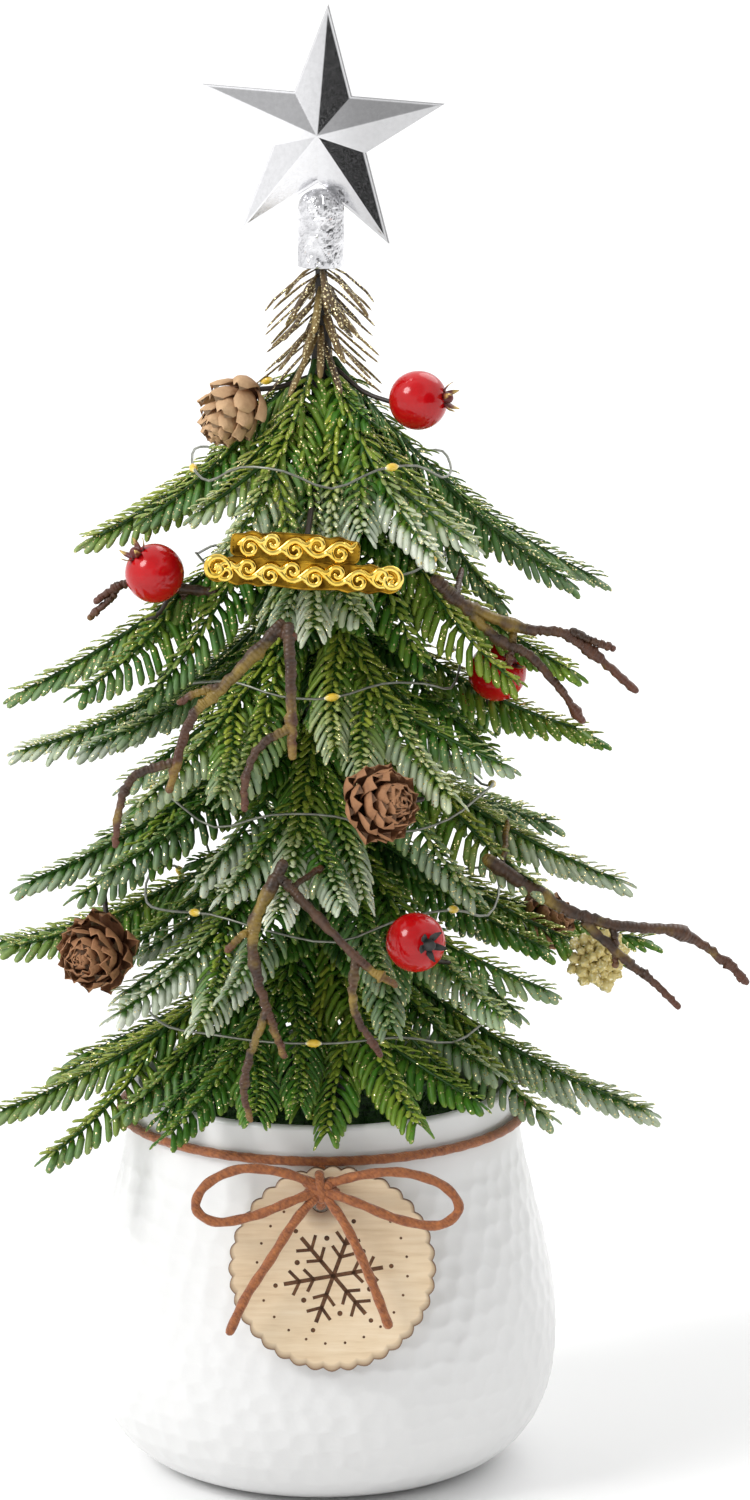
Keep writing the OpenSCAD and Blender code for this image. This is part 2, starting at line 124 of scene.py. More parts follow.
def curve_through(points, per_span=8):
    """A smooth line through given points."""
    p = np.asarray(points, float)
    p = np.vstack([2 * p[0] - p[1], p, 2 * p[-1] - p[-2]])
    line = []
    for i in range(1, len(p) - 2):
        a, b, c, d = p[i - 1], p[i], p[i + 1], p[i + 2]
        for t in np.arange(per_span) / per_span:
            line.append(0.5 * (2 * b + (c - a) * t + (2 * a - 5 * b + 4 * c - d) * t**2
                               + (3 * b - a - 3 * c + d) * t**3))
    return np.array(line + [p[-2]])


def line_frames(line, first_side=None):
    """Tangent and two side vectors at each point of a line, carried along without twist."""
    tangents = np.gradient(line, axis=0)
    tangents /= np.linalg.norm(tangents, axis=1)[:, None]
    side = np.cross(tangents[0], UP if first_side is None else first_side)
    if np.linalg.norm(side) < 1e-6:
        side = np.cross(tangents[0], (0.3, 1.0, 0.1))
    sides = []
    for t in tangents:
        side = unit(side - t * side.dot(t))
        sides.append(side)
    sides = np.array(sides)
    return tangents, sides, np.cross(tangents, sides)


def outward(angle, z=0.0):
    """The direction at an angle round Z, and its height."""
    return np.array([math.cos(angle), math.sin(angle), z])


def turned(degrees, axis):
    return Matrix.Rotation(math.radians(degrees), 3, axis)


def ring_quads(rows, n):
    """Quads between rows of n points each, every row closed on itself."""
    return [(r * n + k, r * n + (k + 1) % n, (r + 1) * n + (k + 1) % n, (r + 1) * n + k)
            for r in range(rows - 1) for k in range(n)]


def line_length(line):
    return float(np.linalg.norm(np.diff(line, axis=0), axis=1).sum())


def tube_mesh(line, radii, sides=12, round_ends=True, shape=None):
    """Points and faces of a tube along a line. shape(angle, along) scales its radius."""
    line = np.asarray(line, float)
    radii = np.broadcast_to(np.asarray(radii, float), (len(line),)).copy()
    if round_ends:
        t0, t1 = unit(line[1] - line[0]), unit(line[-1] - line[-2])
        r0, r1 = radii[0], radii[-1]
        head = [line[0] - t0 * r0 * 0.9, line[0] - t0 * r0 * 0.6]
        tail = [line[-1] + t1 * r1 * 0.6, line[-1] + t1 * r1 * 0.9]
        line = np.vstack([head, line, tail])
        radii = np.concatenate([[r0 * 0.35, r0 * 0.8], radii, [r1 * 0.8, r1 * 0.35]])
    _, u, v = line_frames(line)
    angles = 2 * np.pi * np.arange(sides) / sides
    points = []
    for i, centre in enumerate(line):
        scale = np.ones(sides) if shape is None else shape(angles, i / (len(line) - 1))
        ring = (np.cos(angles)[:, None] * u[i] + np.sin(angles)[:, None] * v[i]) * (radii[i] * scale)[:, None]
        points.append(centre + ring)
    last = (len(line) - 1) * sides
    caps = [tuple(range(sides))[::-1], tuple(last + j for j in range(sides))]
    return np.vstack(points), ring_quads(len(line), sides) + caps


class Bag:
    """Collects points and faces of several shapes into one mesh."""

    def __init__(self):
        self.points, self.faces, self.count = [], [], 0

    def add(self, points, faces):
        points = np.asarray(points, float)
        self.points.append(points)
        self.faces += [tuple(i + self.count for i in f) for f in faces]
        self.count += len(points)
        return len(points)

    def make(self, name, materials, smooth=True):
        return mesh_object(name, np.vstack(self.points), self.faces, materials, smooth)


def lathe(profile, segments, name, materials):
    """A closed surface of revolution round Z from (radius, height) points that start and end on the axis."""
    ring_points = profile[1:-1]
    angles = 2 * np.pi * np.arange(segments) / segments
    points = [(0, 0, profile[0][1])]
    for r, z in ring_points:
        points += [(r * c, r * s, z) for c, s in zip(np.cos(angles), np.sin(angles))]
    points.append((0, 0, profile[-1][1]))
    last = 1 + (len(ring_points) - 1) * segments
    faces = [(0, 1 + (j + 1) % segments, 1 + j) for j in range(segments)]
    faces += [tuple(1 + q for q in quad) for quad in ring_quads(len(ring_points), segments)]
    faces += [(last + j, last + (j + 1) % segments, len(points) - 1) for j in range(segments)]
    return mesh_object(name, points, faces, materials)


def points_of(obj):
    co = np.empty(len(obj.data.vertices) * 3)
    obj.data.vertices.foreach_get("co", co)
    return co.reshape(-1, 3)


def move_points(obj, co):
    obj.data.vertices.foreach_set("co", co.ravel())
    obj.data.update()


def swell(co, amount):
    """Moves points away from the Z axis."""
    flat = np.hypot(co[:, 0], co[:, 1])
    co[:, :2] *= np.where(flat > 1e-6, (flat + amount) / np.maximum(flat, 1e-9), 1)[:, None]


def node_points(name):
    return points_of(frame["nodes"][name])


def volume_centre(name):
    """Centre of a CAD node's solid."""
    mesh = frame["nodes"][name].data
    mesh.calc_loop_triangles()
    co = node_points(name)
    tri = np.array([t.vertices[:] for t in mesh.loop_triangles])
    a, b, c = co[tri[:, 0]], co[tri[:, 1]], co[tri[:, 2]]
    volumes = np.einsum("ij,ij->i", a, np.cross(b, c))
    return ((a + b + c) * volumes[:, None]).sum(0) / (4 * volumes.sum())


def frame_along(axis, spin=0.0):
    """A rotation that takes +Z to axis, after a turn of spin degrees about +Z."""
    turn = Vector((0, 0, 1)).rotation_difference(Vector(axis).normalized()).to_matrix()
    return np.array(turn @ turned(spin, "Z"))


def wire_stem(name, body, points, radius, per_span=8):
    """The dark wire that holds a decoration."""
    shape, faces = tube_mesh(curve_through(points, per_span), radius, 10)
    piece(mesh_object(name, shape, faces, [DARK_WIRE]), body, "trunk_black")


# ---------------------------------------------------------------- materials
class Shader:
    """A material whose node tree is written as a few short calls."""

    def __init__(self, name, **values):
        self.material = bpy.data.materials.new(name)
        self.material.use_nodes = True
        self.tree = self.material.node_tree
        self.base = self.tree.nodes["Principled BSDF"]
        for key, value in values.items():
            self.set(key.replace("_", " "), value)

    def set(self, socket, value):
        """Sets one of the shader's own sockets, by a number, a colour or another node's output."""
        target = next(s for s in self.base.inputs if s.name.lower() == socket.lower())
        if isinstance(value, bpy.types.NodeSocket):
            self.tree.links.new(value, target)
        else:
            target.default_value = (*value, 1.0) if isinstance(value,
                                                               (tuple, list)) and len(value) == 3 else value
        return self

    def node(self, kind, inputs=(), output=0, **settings):
        made = self.tree.nodes.new("ShaderNode" + kind)
        for key, value in settings.items():
            setattr(made, key, value)
        for key, value in dict(inputs).items():
            socket = made.inputs[key]
            if isinstance(value, bpy.types.NodeSocket):
                self.tree.links.new(value, socket)
            else:
                socket.default_value = value
        return made.outputs[output]

    def place(self):
        return self.node("TexCoord", output="Object")

    def noise(self, scale, detail=3.0, roughness=0.5, vector=None):
        return self.node("TexNoise", {"Vector": vector or self.place(), "Scale": scale, "Detail": detail,
                                      "Roughness": roughness}, "Fac")

    def attribute(self, name):
        return self.node("Attribute", output="Fac", attribute_name=name)

    def math(self, operation, a, b=0.0, clamp=False):
        return self.node("Math", {0: a, 1: b}, operation=operation, use_clamp=clamp)

    def between(self, value, low, high):
        """0 below low, 1 above high."""
        return self.node("MapRange", {"Value": value, "From Min": low, "From Max": high},
                         interpolation_type="SMOOTHSTEP")

    def mix(self, factor, a, b):
        """A colour between two colours."""
        made = self.tree.nodes.new("ShaderNodeMix")
        made.data_type = "RGBA"
        for key, value in (("Factor", factor), ("A", a), ("B", b)):
            kind = "VALUE" if key == "Factor" else "RGBA"
            socket = next(s for s in made.inputs if s.name == key and s.type == kind)
            if isinstance(value, bpy.types.NodeSocket):
                self.tree.links.new(value, socket)
            else:
                socket.default_value = (*value, 1.0) if key != "Factor" else value
        return next(s for s in made.outputs if s.type == "RGBA")

    def ramp(self, value, *stops):
        """A colour ramp through (place, colour) stops."""
        made = self.tree.nodes.new("ShaderNodeValToRGB")
        elements = made.color_ramp.elements
        elements[0].position, elements[0].color = stops[0][0], (*stops[0][1], 1)
        elements[1].position, elements[1].color = stops[-1][0], (*stops[-1][1], 1)
        for place, colour in stops[1:-1]:
            elements.new(place).color = (*colour, 1)
        self.tree.links.new(value, made.inputs[0])
        return made.outputs[0]

    def bump(self, height, strength, distance):
        self.set("Normal", self.node("Bump", {"Height": height, "Strength": strength, "Distance": distance}))
        return self

    def specks(self, scale, size, share):
        """1 on small round specks in a random share of cells, 0 elsewhere."""
        cells = self.tree.nodes.new("ShaderNodeTexVoronoi")
        cells.inputs["Scale"].default_value = scale
        self.tree.links.new(self.place(), cells.inputs["Vector"])
        near = self.math("LESS_THAN", cells.outputs["Distance"], size)
        pick = self.node("SeparateColor", {"Color": cells.outputs["Color"]}, "Red")
        chosen = self.math("LESS_THAN", pick, share)
        return self.math("MULTIPLY", near, chosen)


def finish(name, colour_noise, colours, bump=None, gloss=None, **values):
    """A finish whose colour follows noise, with a fine bump and, if wished, a noisy roughness."""
    s = Shader(name, **values)
    s.set("Base Color", s.ramp(s.noise(*colour_noise), *colours))
    if gloss:
        scale, low, high = gloss
        s.set("Roughness", s.ramp(s.noise(scale), (0.3, (low,) * 3), (0.8, (high,) * 3)))
    if bump:
        scale, detail, strength, distance = bump
        s.bump(s.noise(scale, detail), strength, distance)
    return s.material


def needle_material(name, dark, mid, light, glitter, tip_white):
    s = Shader(name, Roughness=0.42)
    along, tint, frost, sparkle = (s.attribute(n) for n in ("along", "tint", "frost", "sparkle"))
    body = s.ramp(s.math("ADD", s.math("MULTIPLY", tint, 0.75), s.math("MULTIPLY", s.noise(120.0), 0.3),
                         True),
                  (0.1, dark), (0.5, mid), (0.95, light))
    body = s.mix(s.math("MULTIPLY", s.between(along, 0.75, 1.05), 0.35), body, light)
    ragged_tip = s.math("ADD", along, s.math("MULTIPLY", s.noise(400.0), 0.5))
    snow = s.math("MULTIPLY", frost, s.between(ragged_tip, 0.40, 0.85))
    body = s.mix(snow, body, tip_white)
    share = s.math("MULTIPLY", sparkle, s.math("SUBTRACT", 0.85, s.math("MULTIPLY", along, 0.45)))
    gold = s.specks(1150.0, 0.36, share)
    s.set("Base Color", s.mix(gold, body, glitter))
    s.set("Metallic", s.math("MULTIPLY", gold, 0.85))
    s.set("Roughness", s.math("SUBTRACT", 0.5, s.math("MULTIPLY", gold, 0.28)))
    s.bump(s.noise(900.0, 2.0), 0.25, 0.0002)
    return s.material


NEEDLE_GREEN = needle_material("needle_green", (0.006, 0.040, 0.003), (0.048, 0.175, 0.006),
                               (0.36, 0.42, 0.040),
                               (1.0, 0.86, 0.45), (0.88, 0.91, 0.80))
NEEDLE_BRONZE = needle_material("needle_bronze", (0.035, 0.018, 0.008), (0.13, 0.075, 0.022),
                                (0.34, 0.24, 0.07),
                                (1.0, 0.88, 0.52), (0.5, 0.45, 0.35))


def star_material():
    s = Shader("star_chrome", Metallic=1.0, Roughness=0.16)
    shade_side_x = s.node("SeparateXYZ", {"Vector": s.place()}, "X")
    worn = s.mix(s.noise(700.0, 4.0), (0.80, 0.80, 0.80), (1.0, 1.0, 1.0))
    # The star's right half is painted darker than its left: painted shade on the chrome.
    body = s.mix(s.between(shade_side_x, -0.012, 0.016), (0.94, 0.94, 0.96), (0.60, 0.60, 0.61))
    s.set("Base Color", s.node("VectorMath", {0: body, 1: worn}, operation="MULTIPLY"))
    fine = s.noise(1600.0, 4.0)
    s.set("Roughness", s.ramp(fine, (0.3, (0.10,) * 3), (0.8, (0.24,) * 3)))
    s.bump(s.noise(60.0, 3.0), 0.05, 0.0006)
    return s.material


def pale_gold_material():
    s = Shader("pale_gold_glitter", Metallic=0.25, Roughness=0.45)
    grain = s.specks(1300.0, 0.4, 0.6)
    s.set("Base Color", s.mix(grain, (0.74, 0.62, 0.26), (1.0, 0.92, 0.60)))
    s.set("Roughness", s.math("SUBTRACT", 0.55, s.math("MULTIPLY", grain, 0.3)))
    s.bump(s.noise(1100.0, 4.0), 0.7, 0.0004)
    return s.material


def crown_material():
    s = Shader("berry_crown", Roughness=0.4)
    along = s.attribute("along")
    gold = s.math("MULTIPLY", s.between(along, 0.45, 0.9), s.between(s.noise(600.0), 0.35, 0.6))
    s.set("Base Color", s.mix(gold, (0.12, 0.012, 0.010), (0.80, 0.58, 0.20)))
    s.set("Metallic", gold)
    s.bump(s.noise(900.0), 0.4, 0.0003)
    return s.material


def cone_material(name, dark, mid, light):
    s = Shader(name, Roughness=0.7)
    along = s.attribute("along")
    blend = s.math("ADD", s.math("MULTIPLY", along, 0.75), s.math("MULTIPLY", s.noise(420.0, 5.0), 0.45),
                   True)
    s.set("Base Color", s.ramp(blend, (0.2, dark), (0.6, mid), (0.95, light)))
    streaks = s.noise(900.0, 4.0)
    s.bump(streaks, 0.6, 0.0004)
    return s.material


def twig_material():
    s = Shader("twig_bark", Roughness=0.42)
    rub = s.between(s.noise(75.0, 4.0), 0.50, 0.66)
    body = s.ramp(s.noise(260.0, 5.0), (0.3, (0.020, 0.011, 0.006)), (0.7, (0.095, 0.045, 0.020)))
    body = s.mix(s.math("MULTIPLY", s.attribute("along"), 0.6), body, (0.17, 0.045, 0.022))
    s.set("Base Color", s.mix(s.math("MULTIPLY", rub, 0.7), body, (0.34, 0.23, 0.035)))
    rings = s.math("SINE", s.math("MULTIPLY", s.attribute("run"), 5200.0))
    s.bump(s.math("ADD", s.math("MULTIPLY", rings, 0.35), s.noise(900.0, 5.0)), 0.55, 0.0004)
    return s.material


def cord_material():
    s = Shader("waxed_cord", Roughness=0.62)
    s.set("Sheen Weight", 0.25)
    s.set("Base Color", s.ramp(s.noise(700.0, 4.0), (0.3, (0.19, 0.050, 0.012)),
                               (0.75, (0.44, 0.145, 0.035))))
    fibres = s.node("TexWave", {"Vector": s.place(), "Scale": 420.0, "Distortion": 6.0, "Detail": 3.0}, "Fac",
                    bands_direction="DIAGONAL")
    s.bump(fibres, 0.45, 0.0004)
    return s.material


def plywood_material():
    s = Shader("plywood_face", Roughness=0.62)
    stretched = s.node("Mapping",
                       {"Vector": s.place(), "Scale": (60.0, 60.0, 700.0), "Rotation": (0.0, 0.35, 0.0)})
    grain = s.noise(1.0, 5.0, 0.6, stretched)
    cloud = s.noise(60.0, 3.0)
    body = s.ramp(s.math("ADD", s.math("MULTIPLY", grain, 0.6), s.math("MULTIPLY", cloud, 0.4)),
                  (0.3, (0.63, 0.46, 0.28)), (0.5, (0.76, 0.60, 0.40)), (0.72, (0.84, 0.70, 0.51)))
    burnt = s.attribute("burnt")
    s.set("Base Color", s.mix(burnt, body, (0.13, 0.055, 0.022)))
    s.bump(grain, 0.25, 0.0002)
    return s.material


def bead_material():
    s = Shader("lamp_resin", Roughness=0.12, Coat_Weight=0.5)
    s.set("Base Color", s.ramp(s.attribute("along"), (0.25, (0.90, 0.60, 0.06)), (0.5, (0.98, 0.80, 0.25)),
                               (0.8, (0.93, 0.92, 0.84))))
    s.bump(s.noise(800.0), 0.1, 0.0001)
    return s.material


def wire_finish(name, colour, metallic, roughness):
    dark = tuple(c * 0.6 for c in colour)
    return finish(name, (500.0,), ((0.3, dark), (0.7, colour)), (1500.0, 3.0, 0.2, 0.0001), Metallic=metallic,
                  Roughness=roughness)


def plastic_finish(name, low, high, roughness):
    return finish(name, (220.0, 4.0), ((0.3, low), (0.7, high)), (900.0, 3.0, 0.3, 0.0003),
                  Roughness=roughness)


SPRIG_STEM = finish("sprig_stem", (300.0,), ((0.3, (0.02, 0.035, 0.01)), (0.7, (0.06, 0.05, 0.02))),
                    (800.0, 3.0, 0.4, 0.0003), Roughness=0.6)
CERAMIC = finish("glazed_white", (18.0, 4.0), ((0.3, (0.74, 0.74, 0.735)), (0.75, (0.79, 0.79, 0.785))),
                 (260.0, 3.0, 0.12, 0.0004), (60.0, 0.28, 0.40), Coat_Weight=0.35, Coat_Roughness=0.12)
MOSS = finish("moss_flock", (350.0, 5.0), ((0.3, (0.010, 0.045, 0.006)), (0.55, (0.035, 0.13, 0.014)),
                                           (0.8, (0.09, 0.24, 0.03))), (900.0, 6.0, 0.9, 0.001),
                                           Roughness=0.95)
STAR = star_material()
FOIL = finish("crinkled_foil", (200.0,), ((0.3, (0.52, 0.52, 0.54)), (0.7, (0.86, 0.86, 0.88))),
              (700.0, 4.0, 0.5, 0.0004), (500.0, 0.14, 0.34), Metallic=1.0)
GOLD = finish("gold_chrome", (150.0,), ((0.3, (0.86, 0.56, 0.07)), (0.7, (1.0, 0.76, 0.20))),
              (500.0, 3.0, 0.12, 0.0002), (900.0, 0.08, 0.22), Metallic=1.0)
GOLD_FIELD = finish("gold_field", (260.0, 4.0), ((0.35, (0.10, 0.045, 0.004)), (0.7, (0.50, 0.28, 0.025))),
                    (420.0, 3.0, 0.4, 0.0004), Metallic=1.0, Roughness=0.2)
PALE_GOLD = pale_gold_material()
BERRY = finish("berry_lacquer", (90.0, 4.0), ((0.3, (0.40, 0.001, 0.003)), (0.7, (0.56, 0.003, 0.007))),
               (220.0, 2.0, 0.06, 0.0006), Roughness=0.16, Coat_Weight=0.25, Coat_Roughness=0.04,
               Specular_IOR_Level=0.32)
CROWN = crown_material()
DARK_WIRE = wire_finish("dark_wire", (0.035, 0.022, 0.018), 0.0, 0.45)
LAMP_WIRE = wire_finish("lamp_wire_silver", (0.30, 0.31, 0.26), 0.8, 0.4)
CONE_TAN = cone_material("cone_tan", (0.10, 0.040, 0.015), (0.38, 0.20, 0.09), (0.62, 0.40, 0.22))
CONE_BROWN = cone_material("cone_brown", (0.035, 0.013, 0.006), (0.16, 0.062, 0.025), (0.36, 0.17, 0.075))
TWIG = twig_material()
CORD = cord_material()
PLYWOOD = plywood_material()
BURNT = finish("burnt_wood", (600.0, 4.0), ((0.3, (0.055, 0.022, 0.010)), (0.75, (0.17, 0.075, 0.030))),
               (1500.0, 3.0, 0.5, 0.0002), Roughness=0.85)
TRUNK_BLACK = plastic_finish("trunk_wrap", (0.006, 0.006, 0.006), (0.022, 0.020, 0.018), 0.5)
SOCKET_GREY = plastic_finish("socket_grey", (0.018, 0.018, 0.017), (0.060, 0.060, 0.056), 0.7)
BOX_GREEN = plastic_finish("box_green", (0.008, 0.020, 0.008), (0.020, 0.045, 0.018), 0.5)
SWITCH_BLACK = plastic_finish("switch_black", (0.008, 0.008, 0.008), (0.03, 0.03, 0.03), 0.4)
CELL_STEEL = wire_finish("cell_steel", (0.62, 0.62, 0.60), 1.0, 0.3)
BEAD = bead_material()
FOAM = finish("rigid_foam", (700.0, 5.0), ((0.3, (0.06, 0.14, 0.05)), (0.7, (0.13, 0.26, 0.10))),
              (1500.0, 4.0, 0.8, 0.0006), Roughness=0.95)
FLOOR = finish("pale_floor", (0.6,), ((0.2, (0.93, 0.93, 0.93)), (0.8, (0.96, 0.96, 0.96))), Roughness=0.9)

# ---------------------------------------------------------------- camera, lights and floor
CAMERA_AT = (0.0161, -1.990, 0.666)
CAMERA_TILT = 77.45
LENS_MM = 161.1


def studio_world():
    """A white room with a dark panel at the right and a grey one overhead, which polished parts reflect."""
    world = bpy.data.worlds.new("studio")
    world.use_nodes = True
    tree = world.node_tree
    towards = tree.nodes.new("ShaderNodeTexCoord").outputs["Generated"]

    def panel(direction, inner, outer, share):
        """Falls from 1 to share inside a round patch of the room."""
        dot = tree.nodes.new("ShaderNodeVectorMath")
        dot.operation = "DOT_PRODUCT"
        tree.links.new(towards, dot.inputs[0])
        dot.inputs[1].default_value = Vector(direction).normalized()
        edge = tree.nodes.new("ShaderNodeMapRange")
        edge.interpolation_type = "SMOOTHSTEP"
        tree.links.new(dot.outputs["Value"], edge.inputs["Value"])
        for key, value in (("From Min", outer), ("From Max", inner), ("To Min", 1.0), ("To Max", share)):
            edge.inputs[key].default_value = value
        return edge.outputs[0]

    product = None
    for patch in ((0.68, -0.70, 0.14), 0.93, 0.86, 0.04), ((-0.15, -0.57, 0.80), 0.95, 0.80, 0.50), \
            ((0.10, -1.0, 0.25), 0.985, 0.965, 0.45):
        value = panel(*patch)
        if product is not None:
            times = tree.nodes.new("ShaderNodeMath")
            times.operation = "MULTIPLY"
            tree.links.new(product, times.inputs[0])
            tree.links.new(value, times.inputs[1])
            value = times.outputs[0]
        product = value
    tree.links.new(product, tree.nodes["Background"].inputs["Color"])
    tree.nodes["Background"].inputs["Strength"].default_value = 1.0
    return world


def stage():
    camera = bpy.data.cameras.new("camera")
    camera.lens = LENS_MM
    camera.sensor_width = 36.0
    camera.clip_start = 0.05
    view = link(bpy.data.objects.new("camera", camera))
    view.location = CAMERA_AT
    view.rotation_euler = (math.radians(CAMERA_TILT), 0, 0)
    bpy.context.scene.camera = view

    half = 6.0
    floor = mesh_object("floor", [(-half, -half, 0), (half, -half, 0), (half, half, 0), (-half, half, 0)],
                        [(0, 1, 2, 3)], [FLOOR])

    bpy.context.scene.world = studio_world()
    bpy.context.scene.view_settings.view_transform = "Standard"

    for name, place, strength, softness in (("key", (-1.0, -0.55, 1.0), 1.55, 24),
                                            ("rim", (0.5, 0.9, 0.9), 0.7, 40)):
        lamp = bpy.data.lights.new(name, "SUN")
        lamp.energy, lamp.angle = strength, math.radians(softness)
        holder = link(bpy.data.objects.new(name, lamp))
        holder.location = place
        holder.rotation_euler = (-Vector(place)).to_track_quat("-Z", "Y").to_euler()


stage()

# ---------------------------------------------------------------- cord: neck ring, bow and tails
CORD_D = 3.0 * MM
NECK_Z = 111 * MM
KNOT = np.array([0, -73.5, 106.5]) * MM
CORD_ROUTES = {
    "loop_left": [[-1.6, -74, 107.6], [-12, -76.5, 112], [-24, -77, 113], [-34, -76.5, 108], [-37, -77, 101],
                  [-31, -78, 97], [-20, -78.5, 99], [-10, -78.5, 103], [-1.4, -75, 105.6]],
    "loop_right": [[1.7, -74.1, 107.5], [12, -76.5, 111], [24, -77, 112], [36, -76.5, 108], [41, -77, 101],
                   [35, -78, 96], [23, -78.5, 98], [11, -78.5, 103], [1.5, -75.1, 105.5]],
    "tail_left": [[-0.8, -74.8, 104.8], [-8, -79, 97], [-15, -80.5, 86], [-22, -80.5, 75], [-27, -80.5, 64]],
    "tail_right": [[0.9, -74.9, 104.7], [7, -79, 97], [12, -80.5, 87], [16, -80.5, 77], [20, -80.5, 66]],
}
STRAND_ROUTE = [[0, -62.2, 109], [0, -63.2, 104.5], [0, -64.6, 101.2], [0, -68, 99.6], [0, -72, 100.6],
                [0, -73.5, 104]]


def twisted(angles, along, turns=24):
    """The two-ply lay of a twisted cord."""
    return 1 + 0.07 * np.cos(2 * (angles - along * turns * 2 * np.pi / 2))


def cord_piece(name, line, turns_per_metre=150, closed_ends=True):
    length = line_length(line)
    lay = lambda angles, along: twisted(angles, along, turns_per_metre * length)
    points, faces = tube_mesh(line, CORD_D / 2 * 0.97, 14, closed_ends, lay)
    return mesh_object(name, points, faces, [CORD])


def make_cord():
    ring_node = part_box("neck_cord")
    ring_r = (ring_node[1].x - ring_node[0].x) / 2 - CORD_D / 2
    turn = np.radians(np.linspace(-90, 270, 181))
    ring = np.stack([ring_r * np.cos(turn), ring_r * np.sin(turn), np.full_like(turn, NECK_Z)], 1)
    neck = piece(cord_piece("neck_cord_ring", ring), "root", "cord_tan", "neck_cord")

    bow_pieces = []
    for name, route in CORD_ROUTES.items():
        line = curve_through(np.array(route) * MM, 8)
        part = piece(cord_piece("bow_" + name, line), "root", "cord_tan", "bow")
        bow_pieces.append(part)
    strand = curve_through(np.array(STRAND_ROUTE) * MM, 5)
    piece(cord_piece("bow_strand", strand), "root", "cord_tan", "bow")
    wraps = Bag()
    for tilt, reach, width in ((18, 4.6, 1.9), (-24, 4.2, 2.1), (84, 3.9, 2.5)):
        turn = np.radians(np.linspace(0, 360, 41))
        flat = np.stack([np.cos(turn) * reach * MM, np.sin(turn) * width * MM, np.zeros(41)], 1)
        spin = np.array(Matrix.Rotation(math.radians(tilt), 3, "Y"))
        wraps.add(*tube_mesh(KNOT + flat @ spin.T, CORD_D / 2 * 0.92, 12, False, lambda a,
                             t: twisted(a, t, 4)))
    piece(flip_if_inside_out(wraps.make("bow_knot_wraps", [CORD])), "root", "cord_tan", "bow")


make_cord()


# ---------------------------------------------------------------- branch joints and the LED string over them
SPREAD = math.radians(13)


def branch_facts(joint):
    """Root, azimuth, length and droops of a branch, from its joint and its CAD solid."""
    root = np.array(joint["pos_m"], float)
    axis = joint["axis"]
    azimuth = math.atan2(axis[0], -axis[1])
    offset = node_points(joint["child"]) - root
    reach = offset @ outward(azimuth)
    tip = offset[reach > reach.max() - 1.5 * MM].mean(0)
    out = tip @ outward(azimuth)
    mean = math.atan2(-tip[2], out)
    length = math.hypot(tip[2], out) * 1.01
    return root, azimuth, length, mean, int(joint["child"].split("_")[1][0])


BRANCH_JOINTS = [j for j in frame["joints"] if j["child"].startswith("branch_")]
BRANCHES = [branch_facts(j) for j in BRANCH_JOINTS]

WIRE_D = 0.8 * MM
WIRE_TIER_R = [39, 38, 42, 52, 54, 54]
POINTS_PER_LAP = 20
CLIMB_POINTS = 4
CLIMB = (126, 148)
WIRE_SAG = 6 * MM
LEVEL_ANGLE = 14
SAG_ANGLE = 16
WIRE_ABOVE_SPINE = 5.8 * MM
TRUNK_R = 3 * MM
LEAD_IN = [[-19, 35, 118], [-25, 34.5, 121.5], [-33, 33, 128], [-40.5, 31, 135]]
WIRE_END = [[-20, 9, 333], [-7, 3, 336]]
BEADS = 24


def rest_on(root_z, mean, length, radius):
    """Height at which the wire lies on a branch, this far from the trunk's axis."""
    start = mean + SPREAD
    droop = math.asin(math.sin(start) - (radius - TRUNK_R) / length * 2 * SPREAD)
    down = length / (2 * SPREAD) * (math.cos(droop) - math.cos(start))
    return root_z - down + WIRE_ABOVE_SPINE / math.cos(droop)


def wire_height(tier, angle, radius):
    """Height of the wire in a tier at an angle in degrees: it sags between branches."""
    heights = []
    for root, azimuth, length, mean, branch_tier in BRANCHES:
        if branch_tier == tier:
            off = abs((angle - math.degrees(azimuth) + 540) % 360 - 180)
            sag = WIRE_SAG * min(max((off - LEVEL_ANGLE) / SAG_ANGLE, 0), 1)
            heights.append(rest_on(root[2], mean, length, radius) - sag)
    return max(heights)


def wire_route():
    level = POINTS_PER_LAP - CLIMB_POINTS
    laps = [CLIMB[1] + i * (360 - CLIMB[1] + CLIMB[0]) / level for i in range(level)]
    laps += [CLIMB[0] + 360 + i * (CLIMB[1] - CLIMB[0]) / CLIMB_POINTS for i in range(CLIMB_POINTS)]
    route = [np.array(p) * MM for p in LEAD_IN]
    for k in range(len(WIRE_TIER_R) - 1, -1, -1):
        for a in laps:
            if k == 0 and a > 360 + CLIMB[0]:
                continue
            share = min(max((a - 360 - CLIMB[0]) / (CLIMB[1] - CLIMB[0]), 0), 1)
            rise = share * share * (3 - 2 * share)
            up = max(k - 1, 0)
            radius = (WIRE_TIER_R[k] * (1 - rise) + WIRE_TIER_R[up] * rise) * MM
            here = wire_height(k + 1, a, WIRE_TIER_R[k] * MM)
            above = wire_height(up + 1, a, WIRE_TIER_R[up] * MM)
            turn = math.radians(a)
            route.append(outward(turn) * radius + UP * (here * (1 - rise) + above * rise))
    return np.array(route + [np.array(p) * MM for p in WIRE_END])


